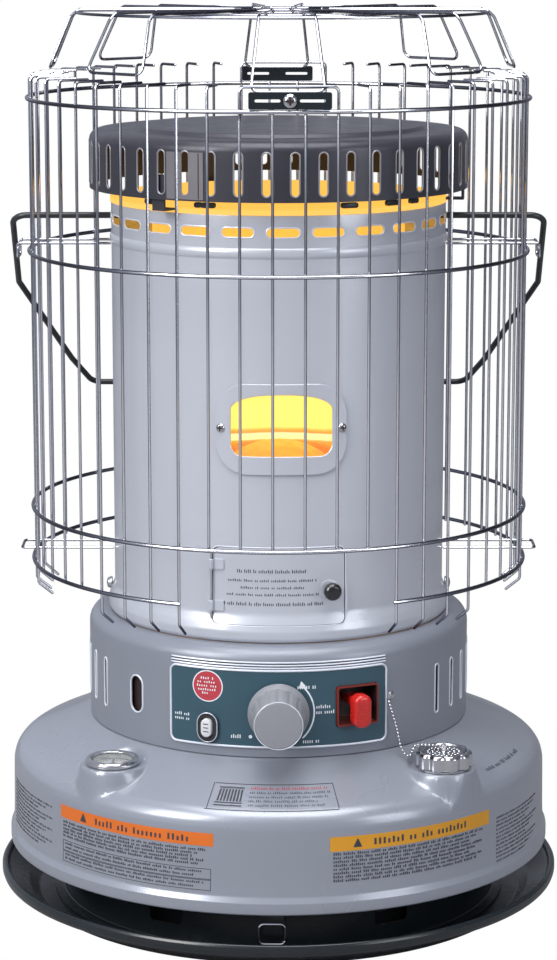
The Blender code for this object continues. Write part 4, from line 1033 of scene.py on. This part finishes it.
# ---- heat chamber ----------------------------------------------------------------------
def window_outline():
    """Window shape: flat bottom, round corners and a gently arched top."""
    half, low = 0.0398, -0.0245
    top = []
    for k in range(41):
        share = math.cos(math.pi * k / 40)
        top.append((half * share, 0.0123 + 0.0122 * max(0.0, 1 - abs(share) ** 2.6) ** 0.55))
    return fillet([(-half, low), (half, low)] + top, [0.01, 0.01] + [0] * 41, 6)


def slot_angles(count, phase, reach):
    """Angles of slots round the heater; those within reach of the handle's ends are moved onto them."""
    made = []
    for index in range(count):
        angle = phase + 360 * index / count
        for end in (90, 270):
            if abs(angle - end) < reach:
                angle = end
        made.append(angle)
    return made


def wrapped(angle, start):
    """The angle within one turn from the start."""
    return start + (angle - start) % 360


CHAMBER_PATH = (profile((124, 571.6), (134, 571.6, 2.2), (134, 545.2), (134.8, 544), (135.3, 542.4),
                        (135.3, 539.6), (134.8, 538), (134, 536.8), closed=False)
                + profile((134, 530), (134, 260, 12), (137.2, 253, 12), (139, 247, 8), (138.8, 241, 3),
                          (137.4, 238.8), steps=6, closed=False))


def chamber_r(z):
    falling = CHAMBER_PATH[::-1]
    return float(np.interp(z, [p[1] for p in falling], [p[0] for p in falling]))


def door_line(width, height, depth, thickness):
    """A bead round the door's opening that follows the foot of the chamber."""
    outline = hole_at(rectangle(width, height, 0.006, 6), 0, DOOR_Z, CHAMBER_R)
    return tubes([[polar(chamber_r(z) - depth, angle, z) for angle, z in outline]], thickness, 6, closed=True)


def make_chamber():
    start = -171.0                                  # the sheet's seam, clear of every hole
    slots = [hole_at(obround(0.026, 0.0077, 8), wrapped(angle, start), 0.557, CHAMBER_R)
             for angle in slot_angles(24, 1.6, 2.5)]
    window = hole_at(window_outline(), *WINDOW, CHAMBER_R)
    door = hole_at(rectangle(0.1064, 0.0613, 0.006, 5), 0, DOOR_Z, CHAMBER_R)
    screw_angles = {label: WINDOW[0] + side * WINDOW_SCREW_ANGLE for label, side in SIDES}
    screws = [hole_at(obround(0.0044, 0.0044, 5), angle, WINDOW_SCREW_Z, CHAMBER_R)
              for angle in screw_angles.values()]
    bolts = [hole_at(obround(0.0048, 0.0048, 5), 90 * side, SIDE_BOLT_Z, CHAMBER_R) for _, side in SIDES]
    chamber = pierced(CHAMBER_PATH, SHEET, slots + [window, door] + screws + bolts, span=(start, start + 360))
    piece("fine_chamber", chamber, "enamel", nodes=("heat_chamber",), slot="body_paint")
    # painted highlight: pale rings round the slots and the door's opening, for light caught on their edges
    piece("chamber_slot_rims", loops(slots, CHAMBER_R, -0.0002, 0.0007), "rim_highlight", slot="body_paint")
    piece("door_rim", door_line(0.1068, 0.0617, 0.0003, 0.0006), "rim_highlight", slot="body_paint")
    # painted shade: a dark line in the gap round the door
    piece("door_gap_shade", door_line(0.1054, 0.0608, 0.0004, 0.0005), "near_black", slot="body_paint")

    surround = hole_at(rectangle(0.101, 0.0696, 0.024, 10), WINDOW[0], 0.406, CHAMBER_R)
    frame_plate = pierced([(0.1358, 0.442), (0.1358, 0.37)], SHEET, [window] + screws, span=(-24, 26),
                          columns=60, outline=surround)
    piece("fine_window_frame", frame_plate, "enamel", nodes=("window_frame",), slot="body_paint")
    piece("window_rims", loops([surround, window], 0.1356, -0.0004, 0.0006), "enamel", slot="body_paint")
    glass = pierced([(0.1322, 0.44), (0.1322, 0.378)], 0.001, span=(-22, 24), columns=40,
                    outline=hole_at(rectangle(0.084, 0.054, 0.006, 3), *WINDOW, 0.1322))
    piece("fine_window_glass", glass, "window", nodes=("window_glass",), slot="window")
    for label, angle in screw_angles.items():
        screw(f"fine_window_screw_{label}", radial(0.1358, angle, WINDOW_SCREW_Z), 0.0035, 0.002,
              f"window_screw_{label}")
    head = lathe(profile((0, 0), (5, 0, 0.2), (5, 0.8, 0.4), (4, 4, 1.6), (0, 4.8)), 32)
    for label, side in SIDES:
        piece(f"fine_side_bolt_{label}", head, "zinc", nodes=(f"side_bolt_{label}",), slot="zinc",
              matrix=radial(chamber_r(SIDE_BOLT_Z) + 0.0004, 90 * side, SIDE_BOLT_Z))


def screw(name, matrix, radius, height, cad_node):
    """A pan head with a cross recess, the recess given as a dark cross on the head: painted shade."""
    head = fillet([(0, 0.0), (radius, 0.0), (radius, height * 0.35), (radius * 0.62, height * 0.92),
        (0, height)], [0, 0.0001, height * 0.3, height, 0], 4)
    piece(name, lathe(head, 32), "chrome", nodes=(cad_node,), slot="chrome_wire",
          matrix=matrix)
    arm, wide = radius * 0.62, radius * 0.15
    cross = [(arm, -wide), (arm, wide), (wide, wide), (wide, arm), (-wide, arm), (-wide, wide), (-arm, wide),
             (-arm, -wide), (-wide, -wide), (-wide, -arm), (wide, -arm), (wide, -wide)]
    # painted shade: a dark cross standing in for the shaded cross recess
    piece(name + "_recess_shade", prism(cross, height * 0.8, height + 0.00004), "near_black", matrix=matrix)


def make_door():
    outline = hole_at(rectangle(0.1044, 0.0603, 0.006, 6), 0, DOOR_Z, CHAMBER_R)
    shapes = [pierced(CHAMBER_PATH, SHEET, span=(-24, 24), columns=48, outline=outline)]
    hinge_x = -0.0524
    hinge_y = -math.sqrt((CHAMBER_R + 0.0024) ** 2 - hinge_x * hinge_x)
    hinge_angle = math.degrees(math.atan2(hinge_x, -hinge_y))
    barrel = lathe(profile((0, 0), (2, 0, 0.3), (2, 8, 0.3), (0, 8)), 20)
    for low in (0.262, 0.295):
        shapes.append(placed(barrel, Matrix.Translation((hinge_x, hinge_y, low))))
        leaf = hole_at(rectangle(0.009, 0.008, 0.001, 2), hinge_angle + 2.3, low + 0.004, CHAMBER_R)
        shapes.append(pierced([(CHAMBER_R + 0.0012, low + 0.01), (CHAMBER_R + 0.0012, low - 0.002)], SHEET,
                              span=(-30, -10), columns=16, outline=leaf))
    piece("fine_door", joined(*shapes), "enamel", "door_group", ("door",), "body_paint")
    knob = profile((0, -4), (4, -4), (4, 1, 1), (4.6, 5, 2), (7, 8, 2), (7, 11.5, 3), (4.8, 13.8, 3),
        (0, 14.2), steps=6)
    place = radial(CHAMBER_R, *DOOR_KNOB)
    piece("fine_door_knob", lathe(knob, 48), "black_plastic", "door_group", ("door_knob",), "black_plastic",
          matrix=place)
    collar = profile((3.8, 0), (7.8, 0), (7.8, 0.9), (3.8, 0.9), radius=0.3, steps=2)
    piece("door_knob_collar", lathe(collar, 36), "enamel", "door_group", matrix=place)


def make_burner():
    outer = sheet_outline(profile((89.5, 238.4), (58, 238.4), (58, 360), (50, 365)), 0.001)
    dome = (profile((31.2, 250.4), (33.8, 250.4), (33.8, 350), (44, 354), (44, 357))
            + arc((0, 0.3104), 0.0641, 48.5, 90, 12)[:-1]
            + profile((0, 374.5), (0, 373.3), (29, 356.8), (31.2, 352)))
    for name, outline in (("outer_burner", outer), ("inner_burner", dome)):
        piece(f"fine_{name}", lathe(outline, 72), "dome_glow", "burner_group", (name,), "hot_steel")
    # painted light: an emissive liner for the flame's light on the chamber's inside wall
    liner = pierced([(0.1012, 0.564), (0.1012, 0.332)], 0.0012, span=(40, 320), columns=76)
    piece("glow_liner", liner, "glow")
    # painted light: a glowing disc across the chamber's top, for the lit inside seen through the hood's slots
    disc = profile((0, 572.6), (134.1, 572.6), (134.4, 570.2), (134.9, 570.2), (134.7, 574.1), (0, 574.1))
    piece("glow_disc", lathe(disc, 96), "top_glow")


def make_hood():
    start = -179.3                                  # the sheet's seam, between two slots
    path = (profile((0, 630), (60, 630), (114, 630, 1.2), (117, 627, 1.2), (130, 627), steps=3, closed=False)
            + arc((0.143, 0.619), 0.008, 90, 0, 8) + [(HOOD_R, 0.6), (HOOD_R, 0.5812)])
    slots = [hole_at(obround(0.007, 0.0335, 8), wrapped(angle, start), 0.6022, HOOD_R)
             for angle in slot_angles(44, 4.8, 0)]
    hood = pierced(path, SHEET, slots, span=(start, start + 360), columns=220)
    piece("fine_hood", hood, "hood_paint", nodes=("hood",), slot="hood_paint")
    # painted highlight: lighter rings round the hood's slots, for light caught on their edges
    piece("hood_slot_rims", loops(slots, HOOD_R, -0.0003, 0.0007), "hood_rim_highlight", slot="hood_paint")
    # painted highlight: a lighter strip over the sheet's overlap, for the light's sheen on the hood's left
    # front
    seam = pierced([(HOOD_R + 0.0007, 0.619), (HOOD_R + 0.0007, 0.5815)], 0.0006, span=(-36, -20), columns=16,
                   holes=[hole for hole in slots if -33 < hole[0][0] < -23],
                   outline=hole_at(rectangle(0.0316, 0.0355), -28.0, 0.6002, HOOD_R))
    piece("hood_seam", seam, "seam_highlight_paint", slot="hood_paint")
    piece("hood_seam_line", bar(on_cylinder(HOOD_R + 0.0007), -23.6, -23.3, 0.583, 0.6175, rows=4),
        "near_black")
    clips = []
    for angle, width in ((-47.0, 0.016), (-27.5, 0.006), (-23.8, 0.012), (24.0, 0.014), (41.0, 0.012),
            (52.0, 0.01)):
        clips.append(placed(prism(rectangle(width, 0.0042, 0.0016, 3), -0.003, 0.0006, 0.0004, 2),
                            radial(0.1336, angle, 0.5768)))
    piece("hood_clips", joined(*clips), "black_wire")
    ring = lathe(profile((125.2, 572), (132, 572), (132, 573), (125.2, 573)), 96)
    arm = profile((-127, 572.2), (-148.6, 572.2), (-148.6, 600), (-147, 600), (-147, 573.8), (-127, 573.8))
    arms = [placed(prism(arm, -0.006, 0.006), radial(0, angle, 0) @ Matrix.Rotation(math.radians(90), 4, "Y"))
            for angle in (-38.0, 82.0, 202.0)]
    piece("fine_hood_bracket", joined(ring, *arms), "hood_paint", nodes=("hood_bracket",), slot="zinc")


# ---- guard, grille and handle --------------------------------------------------------------
def near(angle, target, reach):
    """Whether two angles are less than the reach apart, round the circle."""
    return abs((angle - target + 180) % 360 - 180) < reach


def guard_angles():
    """Angles of the upright wires, those next to the handle's pivots moved aside."""
    made = []
    for index in range(GUARD_WIRES):
        angle = (GUARD_PHASE + 360 * index / GUARD_WIRES + 180) % 360 - 180
        for pivot in (-90, 90):
            away = abs(angle - pivot)
            if away < 2.6 or 3.4 < away < 5.2:
                angle = pivot + math.copysign(2.6 if away < 2.6 else 5.2, angle - pivot)
        made.append(angle)
    return made


def bridge_ends():
    """Angles of the first and last of the four wires under each bridge."""
    pitch = 360 / GUARD_WIRES
    return [(pitch * first + GUARD_PHASE, pitch * (first + 3) + GUARD_PHASE) for first in GUARD_BRIDGED]


def upright_path(angle):
    """Path of one upright wire, from its foot to its hook or to the bridge over it."""
    in_gate = GUARD_GATE[0] < angle < GUARD_GATE[1]
    footed = any(near(angle, *reach) for reach in ((-33.2, 14.0), (37.2, 14.0), (90, 12), (-90, 12)))
    corners = [polar(GUARD_R, angle, GUARD_RINGS[2 if in_gate else 3] - 0.001)]
    if footed and not in_gate:
        corners = [polar(GUARD_R - 0.011, angle, 0.255), polar(GUARD_R, angle, 0.264)]
    corners.append(polar(GUARD_R, angle, 0.6))
    for low, high in bridge_ends():
        if near(angle, (low + high) / 2, (high - low) / 2 + 1.0):
            return corners + [polar(GUARD_R, angle, GUARD_RINGS[0] + 0.001)]
    return corners + [polar(GUARD_R, angle, GUARD_HOOK_Z), polar(GUARD_R - 0.025, angle, GUARD_HOOK_Z)]


def make_guard():
    uprights = tubes([bent(upright_path(angle), 0.004, 5) for angle in guard_angles()], WIRE_R, 10)
    ring_r = GUARD_R + WIRE_R + RING_WIRE_R - 0.0005
    full = tubes([ring_path(ring_r, z, 156) for z in GUARD_RINGS[:3]], RING_WIRE_R, 12, closed=True)
    first, last = GUARD_GATE
    part = tubes([ring_path(ring_r, GUARD_RINGS[3], 140, last, 360 - last + first)], RING_WIRE_R, 12)
    bridges = []
    for low, high in bridge_ends():
        ends = [polar(GUARD_R, angle, GUARD_RINGS[0] - 0.006) for angle in (low, high)]
        over = ring_path(GUARD_R, GUARD_HOOK_Z, 8, low, high - low)
        bridges.append(bent([ends[0], *over, ends[1]], 0.004, 4))
    piece("fine_guard", joined(uprights, full, part, tubes(bridges, WIRE_R, 10)), "wire",
          nodes=("guard_front", "guard_right", "guard_back", "guard_left"), slot="chrome_wire")


def make_grille():
    top, rings = 0.7204, (0.163, 0.1, 0.04)
    place = Matrix.Translation((0.0027, 0, 0)) @ Matrix.Rotation(math.radians(1.3), 4, "Z")
    legs = []
    for index in range(8):
        middle = 45 * index
        clamped = index in (0, 4)
        foot_r, foot_z, spread = (GUARD_R - 0.0023, 0.666, 8.1) if clamped else (0.185, 0.6763, 9.5)
        path = []
        for side in (-1, 1):
            run = [polar(rings[2] - 0.001, middle + side * 11.25, top),
                   polar(rings[0] - 0.001, middle + side * 7.4, top),
                   polar(rings[0] + 0.0045, middle + side * 7.4, top - 0.005),
                   polar(foot_r, middle + side * spread, foot_z)]
            path += run if side < 0 else run[::-1]
        legs.append(bent([place @ p for p in path], 0.006, 5))
    hoops = [[place @ p for p in ring_path(radius, top - 0.0019, 120)] for radius in rings]
    piece("fine_grille", joined(tubes(legs, WIRE_R, 10), tubes(hoops, WIRE_R, 10, closed=True)), "wire",
          nodes=("top_grille",), slot="chrome_wire")


def make_clamps():
    for label, angle, shift in (("front", 0, 0.0085), ("back", 180, 0.001)):
        frame = radial(GUARD_R + 0.0022, angle, 0.6602) @ Matrix.Translation((shift, 0, 0))
        slots = [[(x + side * 0.0165, y) for x, y in obround(0.019, 0.0022, 4)] for side in (-1, 1)]
        bar_shape = plate(rectangle(0.061, 0.0126, 0.0016, 3), slots, 0.0, 0.0016)
        piece(f"fine_clamp_plate_{label}", bar_shape, "black_enamel", nodes=(f"clamp_plate_{label}",),
              slot="black_paint", matrix=frame)
        screw(f"fine_clamp_screw_{label}", frame @ Matrix.Translation((0, 0, 0.0018)), 0.0052, 0.0028,
              f"clamp_screw_{label}")


def make_supports():
    half, reach = 0.0145, GUARD_R + 0.0023 + 0.009
    chamber_x = math.sqrt((CHAMBER_R + 0.0004) ** 2 - half ** 2) + WIRE_R
    for side, label in ((-1, "left"), (1, "right")):
        for z, level in ((0.5365, "upper"), (0.288, "lower")):
            corners = [(chamber_x, -half, z), (reach, -half, z), (reach, half, z), (chamber_x, half, z)]
            if level == "upper":
                corners[1:3] = [(reach, -half, z), (reach, -half, z - 0.012), (reach, half, z - 0.012),
                                (reach, half, z)]
            path = bent([(side * x, y, height) for x, y, height in corners], 0.003, 5)
            piece(f"fine_support_{level}_{label}", tubes([path], 0.0011, 10), "wire",
                  nodes=(f"guard_support_{level}_{label}",), slot="chrome_wire")


def make_bail():
    lean = math.radians(50.93)
    outline = profile((128, 0), (213.4, 0), (216.1, 100), (180, 225), (164, 266))
    corners = [(-x, s) for x, s in outline] + [(x, s) for x, s in outline[::-1]]
    world = [(x, s * math.sin(lean), 0.5575 - s * math.cos(lean)) for x, s in corners]
    piece("fine_bail", tubes([bent(world, 0.012, 8)], 0.0025, 14), "black_wire", "bail_group",
          ("bail_handle",), "black_paint")


# ---- printed marks on the object ------------------------------------------------------------
def sign(place, middle, size, ratio):
    """A generic triangle sign, as one patch; size is in metres and ratio is degrees per metre."""
    angle, z = middle
    return quad(place, [(angle - size * ratio, z - size * 0.8), (angle + size * ratio, z - size * 0.8),
                        (angle + size * ratio * 0.12, z + size), (angle - size * ratio * 0.12, z + size)], 2)


def make_tank_labels():
    rng = random.Random(11)
    around = math.degrees(1 / 0.2188)
    piece("label_orange_band", bar(tank_wall, -51.3, -13.1, 0.0985, 0.1087), "orange_ink")
    piece("label_yellow_band", bar(tank_wall, 10.3, 48.9, 0.095, 0.1064), "yellow_ink")

    def on_band(angle, z):
        return tank_wall(angle, z, 0.00012)

    marks = [sign(on_band, middle, 0.0036, around) for middle in ((-44.0, 0.1033), (16.0, 0.1004))]
    for left, right, z in ((-40.5, -18.0, 0.101), (19.5, 42.0, 0.0982)):
        marks += words(on_band, rng, left, right, z, 0.005, 1.0)
    rows = [(-50.5, -14.5 - 1.5 * (k % 3), 0.0946 - 0.0028 * k, 0.002) for k in range(5)]
    rows += [(-49.8, -15.0 - 2.0 * (k % 2), z, 0.0018) for k, z in enumerate((0.0775, 0.0742, 0.0688,
        0.0655))]
    rows += [(11.0, 46.8 - 2.0 * (k % 3), 0.0919 - 0.003 * k, 0.0021) for k in range(8)]
    for left, right, z, height in rows:
        marks += words(tank_wall, rng, left, right, z, height, 0.42, 0.62)
    for k in range(12):
        marks += words(tank_wall, rng, -78.0, -54.5 - 3.0 * (k % 3), 0.102 - 0.0032 * k, 0.0016, 0.36)
        marks += words(tank_wall, rng, 51.5, 72.0 - 2.5 * (k % 4), 0.096 - 0.0032 * k, 0.0016, 0.36)
    for low, high in ((0.0722, 0.0802), (0.0634, 0.0714)):
        marks += [bar(tank_wall, -50.6, -13.6, z, z + 0.0004) for z in (low, high)]
        marks += [bar(tank_wall, left, left + 0.1, low, high) for left in (-50.6, -13.7)]
    piece("label_print", joined(*marks), "ink")

    dark = [bar(tank_slope, -15.2, 13.0, 0.183, 0.1836, 24), bar(tank_slope, -15.6, 12.6, 0.2105, 0.2111, 24)]
    dark += [quad(tank_slope, [(low, 0.183), (low + 0.18, 0.183), (high + 0.18, 0.2105), (high, 0.2105)], 1,
        8) for low, high in ((13.0, 12.6), (-15.6, -15.2))]
    for right, radius in ((12.0, 0.193), (11.5, 0.1975), (9.0, 0.202), (10.0, 0.2065)):
        dark += words(tank_slope, rng, -6.5, right, radius, -0.0022, 0.42)
    dark += [bar(tank_slope, -13.6 + 0.72 * k, -13.2 + 0.72 * k, 0.202, 0.189, rows=6) for k in range(8)]
    dark += [bar(tank_slope, -13.9, -7.9, low + 0.0012, low, 6) for low in (0.1868, 0.203, 0.206)]
    dark += words(tank_slope, rng, 54.6, 73.0, 0.203, -0.0036, 0.62)
    piece("label_top_print", joined(*dark), "ink")
    piece("label_top_red", joined(*words(tank_slope, rng, -6.5, 12.0, 0.1885, -0.0026, 0.5)), "red_ink")


def make_panel_marks():
    rng = random.Random(5)
    face = on_cylinder(PANEL_R)
    marks = [round_print(face, (0, 0.188), PANEL_R, 0.0272, 0.0284, 32, -48, 92),
             round_print(face, (-8.0, 0.1684), PANEL_R, 0.0002, 0.0014, 20)]
    tip = (math.degrees(0.0278 * math.cos(math.radians(46)) / PANEL_R),
        0.188 + 0.0278 * math.sin(math.radians(46)))
    marks.append(quad(face, [(tip[0] - 1.3, tip[1] - 0.0006), (tip[0] + 1.2, tip[1] - 0.0014),
                             (tip[0] - 0.5, tip[1] + 0.0046), (tip[0] - 0.7, tip[1] + 0.0046)]))
    for left, right, z, height in ((-13.6, -10.2, 0.1668, 0.003), (5.4, 11.4, 0.2066, 0.0034),
                                   (10.8, 15.2, 0.1906, 0.0028), (10.8, 16.2, 0.1862, 0.0028),
                                   (7.0, 12.2, 0.1632, 0.0032), (-31.0, -26.0, 0.1812, 0.0024),
                                   (-31.0, -26.0, 0.1776, 0.0024)):
        marks += words(face, rng, left, right, z, height, 0.62)
    piece("panel_print", joined(*marks), "white_ink")
    emblem = (-20.6, 0.2068)
    piece("emblem_white", round_print(face, emblem, PANEL_R, 0.0002, 0.0126, 48), "white_ink")
    above = on_cylinder(PANEL_R + 0.00012)
    piece("emblem_red", round_print(above, emblem, PANEL_R, 0.0002, 0.0117, 48), "red_ink")
    dashes = []
    for width, z in ((2.0, 0.2122), (3.0, 0.2092), (3.2, 0.2062), (2.8, 0.2032), (1.6, 0.2004)):
        dashes += words(on_cylinder(PANEL_R + 0.00024), rng, emblem[0] - width, emblem[0] + width, z, 0.0018,
            0.7)
    piece("emblem_dashes", joined(*dashes), "white_ink")


def make_door_marks():
    rng = random.Random(3)
    face = on_cylinder(CHAMBER_R)
    marks = []
    for left, right, z, height in ((-13.8, 10.2, 0.2932, 0.0028), (-17.0, 13.2, 0.2862, 0.002),
                                   (-12.6, 8.8, 0.2806, 0.002), (-17.4, 13.6, 0.275, 0.002),
                                   (-19.6, 15.6, 0.2672, 0.0028)):
        marks += words(face, rng, left, right, z, height, 0.62)
    piece("door_print", joined(*marks), "ink", "door_group")


# ---- surroundings --------------------------------------------------------------------------
def area_light(name, place, target, size, power, colour=(1.0, 1.0, 1.0)):
    data = bpy.data.lights.new(name, "AREA")
    data.shape = "RECTANGLE"
    data.size, data.size_y = size
    data.energy = power
    data.color = colour
    made = bpy.data.objects.new(name, data)
    bpy.context.scene.collection.objects.link(made)
    made.location = place
    made.rotation_euler = (Vector(target) - Vector(place)).to_track_quat("-Z", "Y").to_euler()


def seen_directly(tree, other, direct, output):
    """One shader for what the camera sees, another for the light it gives to the rest."""
    mixed(tree, node(tree, "ShaderNodeLightPath", "Is Camera Ray"), other, direct, output)


def make_surroundings():
    scene = bpy.context.scene
    scene.view_settings.view_transform = "Standard"
    mesh = bpy.data.meshes.new("floor")
    mesh.from_pydata([(-9, -9, 0), (9, -9, 0), (9, 9, 0), (-9, 9, 0)], [], [(0, 1, 2, 3)])
    floor = bpy.data.objects.new("floor", mesh)
    scene.collection.objects.link(floor)
    floor.location.z = -0.0003
    made, tree, shader = new_material("pale_floor")
    pale = ramp(tree, noise(tree, 3.0), [(0.3, (0.25, 0.25, 0.26)), (0.7, (0.28, 0.28, 0.29))])
    feed(tree, shader, {"Base Color": pale, "Roughness": 0.9})
    lit = node(tree, "ShaderNodeEmission", "Emission")
    seen_directly(tree, shader.outputs["BSDF"], lit, tree.nodes["Material Output"])
    mesh.materials.append(made)

    world = bpy.data.worlds.new("world")
    scene.world = world
    world.use_nodes = True
    tree = world.node_tree
    shown = tree.nodes["Background"]
    feed(tree, shown, {"Color": (1.0, 1.0, 1.0, 1.0)})
    across = node(tree, "ShaderNodeSeparateXYZ", "X", {"Vector": node(tree, "ShaderNodeTexCoord",
        "Generated")})
    around = [(0.0, (0.5, 0.54, 0.62)), (0.3, (0.62, 0.67, 0.78)), (0.52, (0.4, 0.43, 0.5)),
              (0.72, (0.26, 0.275, 0.32)), (1.0, (0.18, 0.19, 0.22))]
    soft = node(tree, "ShaderNodeBackground", "Background", {
        "Color": ramp(tree, spread(tree, across, 0.0, 1.0, -1.0, 1.0), around), "Strength": 0.8})
    seen_directly(tree, soft, shown.outputs["Background"], tree.nodes["World Output"])

    area_light("key", (-1.9, -1.8, 1.8), (0, 0, 0.4), (1.2, 1.6), 70.0, (1.0, 0.99, 0.97))
    area_light("fill", (2.0, -1.8, 1.1), (0, 0, 0.3), (1.0, 1.6), 20.0, (0.94, 0.96, 1.0))
    area_light("top", (0.0, -0.6, 2.4), (0, 0, 0.2), (1.8, 1.8), 60.0)


CAD_PAINTS = {
    "battery_1": "battery", "battery_2": "battery", "battery_case": "black_plastic", "chain_anchor": "chrome",
    "door_hinge_pin": "zinc", "draft_tube": "zinc", "filler_neck": "zinc", "float_arm": "brass",
    "gauge_float": "black_plastic", "gauge_needle": "near_black", "igniter_arm": "zinc", "knob_shaft": "zinc",
    "tip_over_weight": "brass", "wick": "wick", "wick_carrier": "zinc", "wick_housing": "zinc",
}


def paint_cad_nodes():
    for name, paint in CAD_PAINTS.items():
        mesh = frame["nodes"][name].data
        mesh.materials.clear()
        mesh.materials.append(PAINTS[paint])


make_camera()
PAINTS = make_materials()
for make in (make_chain, make_base, make_cap, make_gauge, make_cabinet, make_knob, make_controls,
        make_chamber, make_door, make_burner, make_hood, make_guard, make_grille, make_clamps, make_supports,
        make_bail, make_tank_labels, make_panel_marks, make_door_marks, paint_cad_nodes, make_surroundings):
    make()
